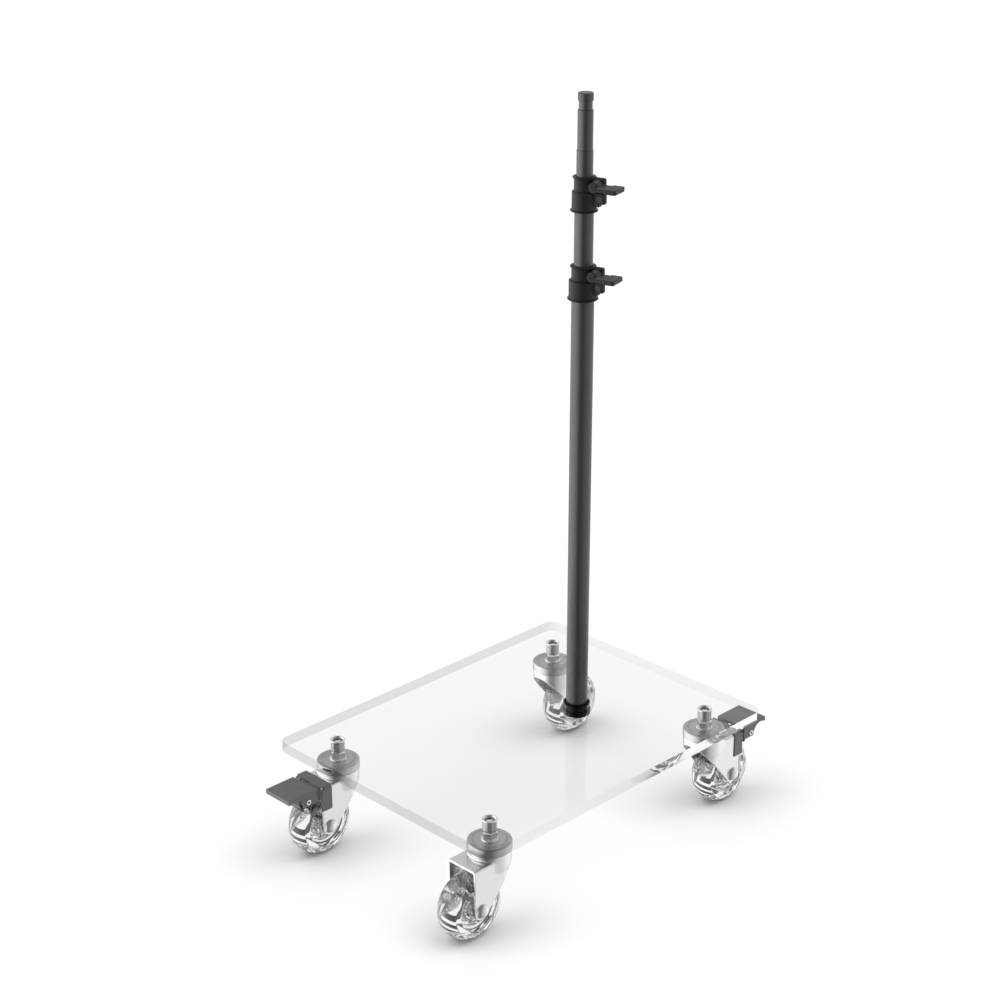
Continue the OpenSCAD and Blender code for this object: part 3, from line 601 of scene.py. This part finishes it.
def plate_mesh(low, high, holes, chamfer):
    """Sheet with chamfered edges and bored holes of (centre, upper radius, lower radius)."""
    def loop(inset):
        x0, y0, x1, y1 = low.x + inset, low.y + inset, high.x - inset, high.y - inset
        r = PLATE_CORNER_R - inset
        return rounded([(x0, y0, r), (x1, y0, r), (x1, y1, r), (x0, y1, r)], 24)

    def circle(spot, r, steps=72):
        turns = [2 * math.pi * i / steps for i in range(steps)]
        return [(spot.x + r * math.cos(a), spot.y + r * math.sin(a)) for a in turns]

    form = bmesh.new()

    def ring(points, z):
        return [form.verts.new((x * MM, y * MM, z * MM)) for x, y in points]

    def wall(rings):
        for a, b in zip(rings, rings[1:]):
            for i in range(len(a)):
                n = (i + 1) % len(a)
                form.faces.new((a[i], a[n], b[n], b[i]))

    bottoms, tops = [], []
    outer = [ring(loop(chamfer), low.z), ring(loop(0), low.z + chamfer),
             ring(loop(0), high.z - chamfer), ring(loop(chamfer), high.z)]
    wall(outer)
    bottoms.append(outer[0])
    tops.append(outer[-1])
    for spot, upper, lower in holes:
        c = chamfer / 2
        levels = [(lower + c, low.z), (lower, low.z + c)]
        if lower > upper:
            levels += [(lower, low.z + NUT_H), (upper, low.z + NUT_H)]
        levels += [(upper, high.z - c), (upper + c, high.z)]
        rings = [ring(circle(spot, r), z) for r, z in levels]
        wall(rings)
        bottoms.append(rings[0])
        tops.append(rings[-1])
    for loops in (bottoms, tops):
        edges = []
        for points in loops:
            for i in range(len(points)):
                pair = (points[i], points[(i + 1) % len(points)])
                edges.append(form.edges.get(pair) or form.edges.new(pair))
        bmesh.ops.triangle_fill(form, edges=edges, use_beauty=True)
    bmesh.ops.recalc_face_normals(form, faces=form.faces)
    mesh = bpy.data.meshes.new("plate_sheet")
    form.to_mesh(mesh)
    form.free()
    mesh.shade_smooth()
    mesh.set_sharp_from_angle(angle=math.radians(20))
    return mesh


class STAND_OT_mounts(bpy.types.Operator):
    """Build the casters' stems with their hexagon collars, and the swivel caps"""
    bl_idname = "stand.mounts"
    bl_label = "Stems and Swivel Caps"

    def execute(self, context):
        props = context.scene.stand_casters
        places = [caster_matrix(c) for c in CORNERS]
        bright = plated_steel("Chrome-plated steel, turned", props.plating, 0.06, 0.14, 5, 0.003)
        plated_steel("Zinc-plated steel, turned", props.plating, 0.12, 0.24, 4, 0.004)
        stems = gathered("stem_rods", stem_mesh(), places)
        add_piece("stem_rods", stems, "base", ["caster_stems"], "chrome", bright)
        groove = CAP_TOP - 1.1
        cap = turned("cap", [
            (KING_PIN_R, CAP_ROOF), (20.4, CAP_ROOF, 0.6), (20.4, CAP_BOTTOM, 0.2), (23.0, CAP_BOTTOM, 0.3),
            (23.0, CAP_TOP - 0.1, 2.0), (18.4, CAP_TOP, 0.2), (18.0, groove, 0.2), (17.2, groove, 0.2),
            (16.8, CAP_TOP, 0.2), (KING_PIN_R, CAP_TOP)], 144)
        caps = gathered("swivel_cap_shells", cap, places)
        satin = plated_steel("Nickel-plated steel, pressed", props.cap, 0.16, 0.26, 8, 0.006)
        add_piece("swivel_cap_shells", caps, "base", ["swivel_caps"], "chrome_cap", satin)
        return {"FINISHED"}


def stem_mesh():
    """Stem, hexagon collar with turned corners, foot ring and king pin, as one mesh."""
    low, foot, top, across = 83.2, CAP_TOP + 1.4, PLATE_TOP - 1.5, 14.0
    rod = [(0, low), (8, low), (8, low + 3), (KING_PIN_R, low + 3), (KING_PIN_R, CAP_TOP), (9, CAP_TOP),
           (9, foot - 0.6), (8.4, foot), (5, foot), (5, PLATE_Z - 1), (STUD_R, PLATE_Z - 1),
           (STUD_R, top - 0.6), (STUD_R - 0.6, top), (0, top)]
    turned_ends = [(0, CAP_TOP), (8.7, CAP_TOP), (8.7, PLATE_Z - 1.2), (7.1, PLATE_Z), (0, PLATE_Z)]

    def field(x, y, z):
        r = np.hypot(x, y)
        d = outline(r, z, rod)
        nut = shared(hexagon(x, y, across / 2), outline(r, z, turned_ends), 0.3)
        return joined(d, nut, 0.2)

    return moulded("stem", field, (-9.1, -9.1, low), (9.1, 9.1, top), 0.4)


class STAND_OT_forks(bpy.types.Operator):
    """Build the pressed forks and the axles with their domed heads"""
    bl_idname = "stand.forks"
    bl_label = "Forks and Axles"

    def execute(self, context):
        props = context.scene.stand_casters
        steel = plated_steel("Nickel-plated steel, deep drawn", props.plating, 0.14, 0.26, 10, 0.01)
        bright = bpy.data.materials["Chrome-plated steel, turned"]
        dome = [(8.57 * math.sin(a), 16.33 + 8.57 * math.cos(a)) for a in np.linspace(0, 1.17, 16)]
        half = dome + [(8.0, FORK_HALF - FIT, 0.15), (AXLE_R, FORK_HALF - FIT)]
        axle = turned("axle", half + below(half), 64)
        fork = fork_mesh()
        balls = bpy.data.materials["Zinc-plated steel, turned"]
        for corner in CORNERS:
            add_at(corner, "fork_shell", fork, "caster", "fork", "chrome", steel, caster_matrix(corner))
            add_at(corner, "axle_pin", axle, "caster", "axle", "chrome", bright, axle_matrix(corner))
            paint("swivel_balls_" + corner, balls)
        return {"FINISHED"}


def fork_mesh():
    """Pressed sheet: a round crown that flares out over a square hood and two legs."""
    start = (-8.0, CROWN_RIM)
    reach = math.hypot(start[0] - AXLE_Y, start[1] - AXLE_Z)
    touch = math.atan2(start[1] - AXLE_Z, start[0] - AXLE_Y) + math.acos(LEG_END_R / reach)
    arc = [(AXLE_Y + LEG_END_R * math.cos(a), AXLE_Z + LEG_END_R * math.sin(a))
           for a in np.linspace(touch, 2 * math.pi, 24)]
    side = rounded([(-40, 100), (-40, CROWN_RIM), (*start, 8)]) + arc + [(HOOD_REACH, 100)]

    def flare(inset, roof):
        r = CROWN_R - inset
        leg = FORK_HALF - inset
        return [(0, 60), (leg - 4, 60), (leg - 0.4, 68.7), (r - 1.7, 71.1), (r - 0.85, 73.3), (r - 0.2, 77.7),
                (r, 83.2), (r, roof), (0, roof)]

    def shell(x, y, z, inset, roof, top, bend):
        flank = np.where(y > 0, abs(x), np.hypot(x, y)) - (FORK_HALF - inset)
        legs = shared(flank, z - top, bend)
        return joined(outline(np.hypot(x, y), z, flare(inset, roof)), legs, 1.6 + inset / 3)

    def field(x, y, z):
        outer = shell(x, y, z, 0, CROWN_TOP, HOOD_TOP, 3.0)
        d = shared(outer, outline(y, z, side), 0.45)
        d = cut(d, shell(x, y, z, SHEET, CROWN_ROOF, HOOD_TOP - SHEET, 1.0), 0.45)
        return cut(d, np.hypot(x, y) - KING_PIN_R - FIT, 0.2)

    return moulded("fork", field, (-22.4, -22.4, 26.3), (22.4, 39.4, 89.6), 0.62)


class STAND_OT_wheels(bpy.types.Operator):
    """Build the clear tyres on their clear cores, and the bearings inside"""
    bl_idname = "stand.wheels"
    bl_label = "Clear Wheels"

    def execute(self, context):
        props = context.scene.stand_casters
        tread_r, edge_r = 18.87, 1.5
        lean = math.asin((TYRE_HALF - edge_r) / (tread_r - edge_r))
        tread_at = WHEEL_R - tread_r
        edge_at = tread_at + (tread_r - edge_r) * math.cos(lean)
        tyre_half = [(CORE_R, TYRE_HALF)]
        tyre_half += [(edge_at + edge_r * math.cos(a), TYRE_HALF - edge_r + edge_r * math.sin(a))
                      for a in np.linspace(math.pi / 2, lean, 7)]
        tyre_half += [(tread_at + tread_r * math.cos(a), tread_r * math.sin(a))
                      for a in np.linspace(lean, 0, 17)[1:]]
        rim_half = 13.7
        core_half = [(5.5, 0), (5.5, 9.7), (11.0, 9.7), (11.0, HUB_HALF), (14.0, HUB_HALF, 0.8),
                     (14.6, 4.6, 1.6), (20.0, 4.6, 2.0), (20.4, rim_half, 0.5)]
        # The rim's outer face is a cone that meets the tyre at one side only. The part's source
        # has it straight; the cone gives the broad bright and dark bands of the photo.
        tyre = turned("tyre", tyre_half + below(tyre_half), 192)
        core = turned("core", core_half + [(CORE_R + FIT, rim_half)] + below(core_half), 144)
        bore = AXLE_R + FIT
        race = turned("race", [
            (bore, 9.8, 0.2), (bore, 16.6, 0.2), (5.8, 16.6, 0.2), (6.2, 16.2), (9.2, 16.2), (9.6, 16.6, 0.2),
            (11.0 - FIT, 16.6, 0.3), (11.0 - FIT, 9.8, 0.3)], 72)
        pair = gathered("bearing_pair", race, [Matrix.Identity(4), Matrix.Rotation(math.pi, 4, "X")])
        soft, hard = cast_polyurethane(props.tread), moulded_polycarbonate(props.core)
        steel = bpy.data.materials["Zinc-plated steel, turned"]
        for corner in CORNERS:
            place = axle_matrix(corner)
            add_at(corner, "tyre_ring", tyre, "wheel", "tyre", "clear_tyre", soft, place)
            add_at(corner, "wheel_hub", core, "wheel", "wheel_core", "clear_core", hard, place)
            add_at(corner, "bearing_pair", pair, "wheel", "bearings", "zinc_steel", steel, place)
        return {"FINISHED"}


class STAND_OT_brakes(bpy.types.Operator):
    """Build the brake housings, pedals, rivets and steel shoes"""
    bl_idname = "stand.brakes"
    bl_label = "Brakes"

    def execute(self, context):
        props = context.scene.stand_casters
        plastic = moulded_nylon("Nylon, moulded grey", props.brake, 0.34, 0.46)
        steel = bpy.data.materials["Chrome-plated steel, turned"]
        # Painted shade: the steel shoe sits under the pedal, so it is given a dark colour that stands in for
        # the shade there.
        painted_shade_dark = plated_steel("Spring steel, blued", linear("#3A3A3C"), 0.16, 0.26, 5, 0.004)
        housing, pedal, shoe = housing_mesh(), pedal_mesh(), shoe_mesh()
        half = [(PIVOT_R, 19.6), (3.0, 19.6), (3.0, 20.3, 0.4), (1.4, 20.3, 0.2)]
        rivet = turned("rivet", below(half) + half, 48)
        across = Matrix.Translation((0, PIVOT_Y * MM, PIVOT_Z * MM)) @ Matrix.Rotation(math.pi / 2, 4, "Y")
        for corner in BRAKED:
            place = caster_matrix(corner)
            pin = place @ across
            shell = add_at(
                corner, "brake_shell", housing, "caster", "brake_housing", "brake_grey", plastic, place)
            # The photo shows no dark image of the housing in the metal beside it.
            shell.visible_glossy = False
            add_at(corner, "brake_pin", rivet, "caster", "brake_rivet", "zinc_steel", steel, pin)
            add_at(corner, "pedal_plate", pedal, "pedal", "brake_pedal", "brake_grey", plastic, place)
            add_at(corner, "shoe_strip", shoe, "pedal", "brake_shoe", "zinc_steel", painted_shade_dark, place)
        return {"FINISHED"}


def housing_mesh():
    """Cover that clips over the hood, with the two ears that carry the pedal."""
    half, near, far, low = 22.0, 28.0, 41.5, 58.9
    ear_out, ear_in, ear_r = 16.4, 13.8, 5.4
    front, room_half = HOOD_REACH + 0.15, FORK_HALF + 0.15
    roof_low, roof_high = (-20, near + 0.5, HOOD_TOP), (20, far - 0.2, PEDAL_TOP)
    bridge_low, bridge_high = (1 - ear_out, near + 9, PIVOT_Z - 2), (ear_out - 1, 46.4, 83.1)

    def field(x, y, z):
        w = abs(x)
        cover = shared(w - half, z - PEDAL_TOP, 3.8)
        cover = shared(cover, np.maximum(near - y, y - far), 0.5)
        cover = shared(cover, low - z, 0.8)
        room = shared(w - room_half, z - HOOD_TOP, 2.4)
        cover = cut(cover, np.maximum(room, y - front), 0.3)
        between_ears = np.maximum(w - ear_in, front - 3 - y)
        cover = cut(cover, between_ears, 0.4)
        cover = joined(cover, block((x, y, z), roof_low, roof_high, 0.3), 0.1)
        corner = np.maximum(16.6 - w, z - PEDAL_TOP + 0.9)
        corner = np.maximum(corner, np.maximum(far - 3.4 - y, HOOD_TOP - 0.2 - z))
        cover = cut(cover, corner, 0.4)
        cover = joined(cover, block((x, y, z), bridge_low, bridge_high, 0.4), 0.4)
        under = np.maximum(front - 1 - y, z - (PIVOT_Z - ear_r))
        cover = cut(cover, np.maximum(under, w - room_half), 0.3)
        arm = np.minimum(np.hypot(y - PIVOT_Y, z - PIVOT_Z) - ear_r,
                         np.maximum(np.maximum(front - y, y - PIVOT_Y), abs(z - PIVOT_Z) - ear_r))
        ear = shared(arm, np.maximum(ear_in - w, w - ear_out), 0.5)
        d = joined(cover, ear, 0.8)
        return cut(d, np.hypot(y - PIVOT_Y, z - PIVOT_Z) - PIVOT_R - FIT, 0.2)

    return moulded("housing", field, (-22.1, 27.9, 58.7), (22.1, 64, 87.8), 0.5)


def pedal_mesh():
    """Plate that thickens to its toe, with two cheeks on the rivet, scooped out under the toe."""
    under, low, toe = 84.7, 71.7, 84.0
    scoop_r = under - low
    scoop_y = PIVOT_Y + 5.4 + scoop_r
    back = 47.0
    section = [(back, PEDAL_TOP), (back, under), (scoop_y - 1, under), (toe, under - 2.4), (toe, PEDAL_TOP)]

    def field(x, y, z):
        plate = shared(outline(y, z, section), abs(x) - PEDAL_HALF, 0.7)
        side = np.maximum(np.maximum(back - y, y - scoop_y), np.maximum(low - z, z - under - 0.5))
        side = cut(side, np.hypot(y - scoop_y, z - low) - scoop_r, 0.3)
        cheek = shared(side, np.maximum(16.7 - abs(x), abs(x) - PEDAL_HALF), 0.6)
        d = joined(plate, cheek, 0.7)
        return cut(d, np.hypot(y - PIVOT_Y, z - PIVOT_Z) - PIVOT_R - FIT, 0.2)

    return moulded("pedal", field, (-19.4, 46.9, 71.6), (19.4, 84.1, 87.8), 0.5)


def shoe_mesh():
    """Bent steel strip from the pedal's underside, in front of the rivet, to the tread."""
    angle, clear, t = math.radians(42), 2.0, 1.5
    tip_y = AXLE_Y + (WHEEL_R + clear) * math.cos(angle)
    tip_z = AXLE_Z + (WHEEL_R + clear) * math.sin(angle)
    drop, knee, under, top = PIVOT_Y + PIVOT_R + 1.5, PIVOT_Z - 5.6, 84.7, 74.0
    line = [(drop, under), (top, under), (top, under - t), (drop + t, under - t), (drop + t, knee - t / 2),
            (tip_y + t, tip_z), (tip_y, tip_z), (tip_y, tip_z + t), (drop, knee)]

    def field(x, y, z):
        return shared(outline(y, z, line), abs(x) - 11, 0.3)

    return moulded("shoe", field, (-11.1, tip_y - 0.1, tip_z - 0.2), (11.1, top + 0.1, under + 0.1), 0.4)


class STAND_OT_foot(bpy.types.Operator):
    """Build the socket that holds the pole in the plate, and finish its nut, plug and screw"""
    bl_idname = "stand.foot"
    bl_label = "Pole Foot"

    def execute(self, context):
        props = context.scene.stand_pole
        black = plated_steel("Steel, blackened", props.foot, 0.2, 0.34, 6, 0.006)
        floor, flange, screw_r = PLATE_Z + 3.0, PLATE_TOP + 1.2, 4.0
        bore = TUBE_R["lower_tube"] + FIT
        socket = turned("socket", [
            (screw_r + FIT, PLATE_Z + 2.5), (screw_r + FIT, floor), (bore, floor),
            (bore, PLATE_TOP - 0.2, 0.1), (12.6, PLATE_TOP + 0.5, 0.3), (13.0, flange, 0.3),
            (14.5, flange, 0.5), (14.5, PLATE_TOP, 0.15), (SOCKET_R, PLATE_TOP),
            (SOCKET_R, PLATE_Z, 0.3), (6.55, PLATE_Z)], 96)
        add_piece("socket_sleeve", socket, "base", ["pole_socket"], "foot_black", black, pole_matrix())
        paint("ring_nut", black)
        steel = bpy.data.materials["Zinc-plated steel, turned"]
        paint("foot_screw", steel)
        paint("foot_plug", steel)
        return {"FINISHED"}


class STAND_OT_pole(bpy.types.Operator):
    """Build the three tubes and the grooved spigot"""
    bl_idname = "stand.pole"
    bl_label = "Pole"

    def execute(self, context):
        props = context.scene.stand_pole
        satin = anodised_aluminium("Aluminium tube, dark anodised", props.tube, 0.3, 0.42)
        tubes = (("lower_tube", "base", 1.2), ("middle_tube", "middle_section", 1.0),
                 ("top_tube", "top_section", 1.0))
        for node, body, wall in tubes:
            low, high = (v.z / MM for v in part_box(node))
            r = TUBE_R[node]
            inner = r - wall
            tube = turned(node, [(inner, low, 0.2), (inner, high, 0.25), (r, high, 0.4), (r, low, 0.3)], 128)
            add_piece(node + "_drawn", tube, body, [node], "tube_black", satin, pole_matrix())
        low, high = (v.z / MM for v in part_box("spigot"))
        r, plug_r, groove_r, c = 7.94, 7.4, 6.9, 0.8
        shoulder, groove, head = low + 25.1, high - 16.4, high - 8.0
        spigot = turned("spigot", [
            (0, low), (plug_r, low, 0.5), (plug_r, shoulder), (r, shoulder), (r, groove - c, 0.2),
            (groove_r, groove, 0.4), (groove_r, head, 0.4), (r, head, 0.3), (r, high - c, 0.3),
            (r - c, high, 0.3), (0, high)], 96)
        add_piece("spigot_turned", spigot, "top_section", ["spigot"], "tube_black", satin, pole_matrix())
        black = moulded_nylon("Acetal, moulded", linear("#5A5A5A"), 0.3, 0.4)
        for node in ("middle_bush", "top_bush"):
            paint(node, black)
        for node in ("lower_liner", "upper_liner"):
            paint(node, black)
        return {"FINISHED"}


class STAND_OT_collars(bpy.types.Operator):
    """Build the two clamp collars with their levers, screws and nuts"""
    bl_idname = "stand.collars"
    bl_label = "Collars and Levers"

    def execute(self, context):
        props = context.scene.stand_pole
        nylon = moulded_nylon("Glass-filled nylon, moulded black", props.collar, 0.36, 0.5, ior=1.33)
        steel = plated_steel("Zinc-plated steel, black passivated", linear("#343436"), 0.2, 0.3, 3, 0.004)
        lever = lever_mesh()
        screw = Matrix.Translation((SCREW_REACH * MM, 0, TOP_SCREW_Z * MM))
        pairs = {"lower": ("base", "lower_tube", "middle_tube"),
                 "upper": ("middle_section", "middle_tube", "top_tube")}
        for which, (body, outer, inner) in pairs.items():
            place = collar_matrix(which + "_collar")
            mesh = collar_mesh(which, TUBE_R[outer], TUBE_R[inner])
            add_piece(which + "_collar_clamp", mesh, body, [which + "_collar"], "nylon_black", nylon, place)
            add_piece(which + "_lever_paddle", lever, which + "_clamp_lever", [which + "_lever"],
                      "nylon_black", nylon, place @ screw)
            for node in ("_collar_screw", "_collar_nut", "_clamp_screw"):
                paint(which + node, steel)
        return {"FINISHED"}


def collar_mesh(name, outer_r, inner_r):
    """Split sleeve round the outer tube, its neck round the inner one, and two pairs of ears."""
    sleeve, neck, bead, top, half = outer_r + 2.9, inner_r + 2.3, 1.4, COLLAR_TOP, 3.4
    foot_r, lip_r = sleeve + bead, neck + bead
    wall = [(0, 0), (foot_r - 0.5, 0), (foot_r, 0.5), (foot_r, 1.4), (sleeve, 2.2), (sleeve, SLEEVE_H),
            (neck, SLEEVE_H + 1.6), (neck, top - 2.8), (lip_r, top - 1.4), (lip_r, top - 0.5),
            (lip_r - 0.5, top), (0, top)]

    def field(x, y, z):
        r = np.hypot(x, y)
        body = outline(r, z, wall)
        low_ear = block((x, y, z), (5, -half, 9), (24.2, half, 20.5), 2.0)
        low_ear = shared(low_ear, abs(y) - half, 0.4)
        top_ear = block((x, y, z), (5, -half, 22), (23.6, half, top), 2.0)
        web = block((x, y, z), (5, -half, 6), (18.2, half, 12), 1.0)
        d = joined(body, joined(joined(low_ear, web, 1.0), top_ear, 0.4), 1.0)
        bore = np.minimum(np.maximum(r - outer_r, z - SLEEVE_H), r - inner_r - 0.3)
        d = cut(d, bore, 0.35)
        slit = np.maximum(abs(y) - 0.4, -x)
        d = cut(d, slit, 0.2)
        for screw_z in (LOW_SCREW_Z, TOP_SCREW_Z):
            d = cut(d, np.hypot(x - SCREW_REACH, z - screw_z) - SCREW_R - FIT, 0.1)
        pocket = hexagon(z - LOW_SCREW_Z, x - SCREW_REACH, 3.5 + FIT)
        return cut(d, np.maximum(pocket, 1.2 - abs(y)), 0.2)

    edge = foot_r + 0.1
    return moulded(name + "_collar", field, (-edge, -edge, 0), (24.3, edge, top), 0.45)


def lever_mesh():
    """Cam lever: a hub on the clamp screw, with a flat paddle and a thicker pad at its tip."""
    near, hub_l, mid = -3.7, 13.0, -14.9

    def field(x, y, z):
        hub = shared(np.hypot(x, z) - 5.5, np.maximum(near - hub_l - y, y - near), 0.8)
        paddle = block((x, y, z), (2, mid - 10.5, -1.8), (22, mid + 10.5, 1.8), 0.7)
        plan = np.hypot(np.maximum(abs(x - 22.5) - 4.5, 0), np.maximum(abs(y - mid) - 9.2, 0)) - 2.0
        pad = shared(plan, abs(z) - 2.5, 0.8)
        d = joined(joined(hub, paddle, 1.6), pad, 0.5)
        return cut(d, np.maximum(np.hypot(x, z) - SCREW_R - FIT, near - hub_l + 1.5 - y), 0.1)

    return moulded("lever", field, (-5.6, -26.2, -5.6), (29.1, near, 5.6), 0.4)


class STAND_OT_stage(bpy.types.Operator):
    """Set up the floor, the soft light and the camera"""
    bl_idname = "stand.stage"
    bl_label = "Floor, Light and Camera"

    def execute(self, context):
        scene, props = context.scene, context.scene.stand_stage
        scene.view_settings.view_transform = "Standard"
        for kind in ("max_bounces", "glossy_bounces", "transmission_bounces"):
            setattr(scene.cycles, kind, BOUNCES)
        mesh = bpy.data.meshes.new("floor")
        corners = [(x * FLOOR_HALF, y * FLOOR_HALF, 0) for x, y in ((-1, -1), (1, -1), (1, 1), (-1, 1))]
        mesh.from_pydata(corners, [], [(0, 1, 2, 3)])
        mesh.materials.append(floor_material(props.floor))
        new_object("floor", mesh)
        scene.world = studio_world(props.light)
        for (name, azimuth, elevation, spread), level in zip(LAMPS, (props.key, props.fill)):
            lamp = bpy.data.lights.new(name, "SUN")
            away = heading(azimuth, elevation)
            lamp.angle, lamp.energy = math.radians(spread), level * math.pi / away.z
            holder = new_object(name, lamp)
            holder.visible_glossy = False
            holder.location = away * LAMP_AWAY
            holder.rotation_euler = (-away).to_track_quat("-Z", "Y").to_euler()
        camera = bpy.data.cameras.new("camera")
        camera.lens, camera.sensor_width = props.lens, 36
        camera.clip_start, camera.clip_end = 0.05, 50
        holder = new_object("camera", camera)
        back = heading(math.degrees(props.azimuth), math.degrees(props.elevation))
        holder.location = CAMERA_PLACE
        holder.rotation_euler = (-back).to_track_quat("-Z", "Y").to_euler()
        scene.camera = holder
        return {"FINISHED"}


def heading(azimuth, elevation):
    """Unit vector towards an azimuth and elevation in degrees: 0 is at -Y, and 90 at +X."""
    turn, high = math.radians(azimuth), math.radians(elevation)
    return Vector((math.sin(turn) * math.cos(high), -math.cos(turn) * math.cos(high), math.sin(high)))


def ray_kinds(tree):
    """Light Path's outputs, then three sockets that are 1 or 0: thrown, for a ray that has been
    mirrored or has crossed three clear surfaces; bent, for one that has crossed two of them;
    first, for one that has met no matt surface."""
    path = add_node(tree, "ShaderNodeLightPath").outputs
    shiny = add_node(tree, "ShaderNodeMath", {0: path["Glossy Depth"], 1: 0.5}, operation="GREATER_THAN")
    through = path["Transmission Depth"]
    deep = add_node(tree, "ShaderNodeMath", {0: through, 1: 2.5}, operation="GREATER_THAN")
    thrown = add_node(tree, "ShaderNodeMath", {0: shiny, 1: deep}, operation="MAXIMUM")
    bent = add_node(tree, "ShaderNodeMath", {0: through, 1: 1.5}, operation="GREATER_THAN")
    first = add_node(tree, "ShaderNodeMath", {0: path["Diffuse Depth"], 1: 0.5}, operation="LESS_THAN")
    return path, thrown, bent, first


def studio_light(tree, where):
    """How bright the studio is towards a direction: a dim room, and each soft lamp in it."""
    total = STUDIO_DIM
    for azimuth, elevation, start, end, level in STUDIO_LAMPS:
        towards = add_node(
            tree, "ShaderNodeVectorMath", {0: where, 1: heading(azimuth, elevation)}, operation="DOT_PRODUCT")
        spread = add_node(tree, "ShaderNodeMapRange", {
            "Value": towards, "From Min": start, "From Max": end, "To Max": level})
        total = add_node(tree, "ShaderNodeMath", {0: spread, 1: total}, operation="ADD")
    return total


def floor_material(colour):
    # Matt painted floor, pale: it holds the object's shadow. A ray from metal goes through it to
    # the studio, and so does one from inside a wheel that is shorter than wheel_reach, in metres.
    wheel_reach = 0.19
    material, tree, shader, _ = new_material(
        "Painted floor, matt", colour, **{"Roughness": 0.9, "Specular IOR Level": 0.0})
    path, thrown, bent, first = ray_kinds(tree)
    near = add_node(tree, "ShaderNodeMath", {0: path["Ray Length"], 1: wheel_reach}, operation="LESS_THAN")
    wheel = add_node(tree, "ShaderNodeMath", {0: bent, 1: near}, operation="MULTIPLY")
    stray = add_node(tree, "ShaderNodeMath", {0: thrown, 1: wheel}, operation="MAXIMUM")
    share = add_node(tree, "ShaderNodeMath", {0: stray, 1: first}, operation="MULTIPLY")
    mix_shaders(tree, share, shader, add_node(tree, "ShaderNodeBsdfTransparent"))
    return material


def studio_world(light):
    """White to the eye, the studio's lamps to metal, panels to the clear wheels, and a plain
    level of light on the object."""
    world = bpy.data.worlds.new("studio")
    world.use_nodes = True
    world.cycles.sampling_method = "NONE"
    tree = world.node_tree
    tree.nodes.clear()
    _, thrown, bent, first = ray_kinds(tree)
    where = add_node(tree, "ShaderNodeTexCoord").outputs["Generated"]
    across = add_node(
        tree, "ShaderNodeVectorMath", {0: where, 1: heading(PANEL_AZIMUTH, 0)}, operation="DOT_PRODUCT")
    wave = add_node(
        tree, "ShaderNodeMath", {0: across, 1: PANEL_RATE, 2: PANEL_SHIFT}, operation="MULTIPLY_ADD")
    wave = add_node(tree, "ShaderNodeMath", {0: wave}, operation="SINE")
    panels = add_node(tree, "ShaderNodeMapRange", {
        "Value": wave, "From Min": PANEL_EDGE[0], "From Max": PANEL_EDGE[1],
        "To Min": PANEL_DARK, "To Max": PANEL_BRIGHT})
    lost = add_node(tree, "ShaderNodeMath", {0: thrown, 1: bent}, operation="MAXIMUM")
    studio = add_node(tree, "ShaderNodeMix", {0: bent, 2: studio_light(tree, where), 3: panels})
    seen = add_node(tree, "ShaderNodeMix", {0: lost, 2: 1.0, 3: studio})
    sky = add_node(tree, "ShaderNodeMix", {0: bent, 2: light, 3: 0.0})
    strength = add_node(tree, "ShaderNodeMix", {0: first, 2: sky, 3: seen})
    shade = add_node(tree, "ShaderNodeBackground", {"Color": (1, 1, 1, 1), "Strength": strength})
    add_node(tree, "ShaderNodeOutputWorld", {"Surface": shade})
    return world


OPERATORS = (STAND_OT_plate, STAND_OT_mounts, STAND_OT_forks, STAND_OT_wheels, STAND_OT_brakes, STAND_OT_foot,
             STAND_OT_pole, STAND_OT_collars, STAND_OT_stage)
GROUPS = {"stand_plate": StandPlate, "stand_casters": StandCasters, "stand_pole": StandPole,
          "stand_stage": StandStage}


class STAND_PT_panel(bpy.types.Panel):
    """Lists the stand's settings and the steps that build it"""
    bl_idname = "STAND_PT_panel"
    bl_label = "Roller Stand"
    bl_space_type = "VIEW_3D"
    bl_region_type = "UI"
    bl_category = "Roller Stand"

    def draw(self, context):
        for name, group in GROUPS.items():
            box = self.layout.box()
            for key in group.__annotations__:
                box.prop(getattr(context.scene, name), key)
        for operator in OPERATORS:
            self.layout.operator(operator.bl_idname)


def register():
    for cls in (*GROUPS.values(), *OPERATORS, STAND_PT_panel):
        bpy.utils.register_class(cls)
    for name, group in GROUPS.items():
        setattr(bpy.types.Scene, name, bpy.props.PointerProperty(type=group))


def unregister():
    for name in GROUPS:
        delattr(bpy.types.Scene, name)
    for cls in (STAND_PT_panel, *reversed(OPERATORS), *reversed(GROUPS.values())):
        bpy.utils.unregister_class(cls)


def main():
    register()
    for operator in OPERATORS:
        group, name = operator.bl_idname.split(".")
        getattr(getattr(bpy.ops, group), name)()


if __name__ == "__main__":
    main()
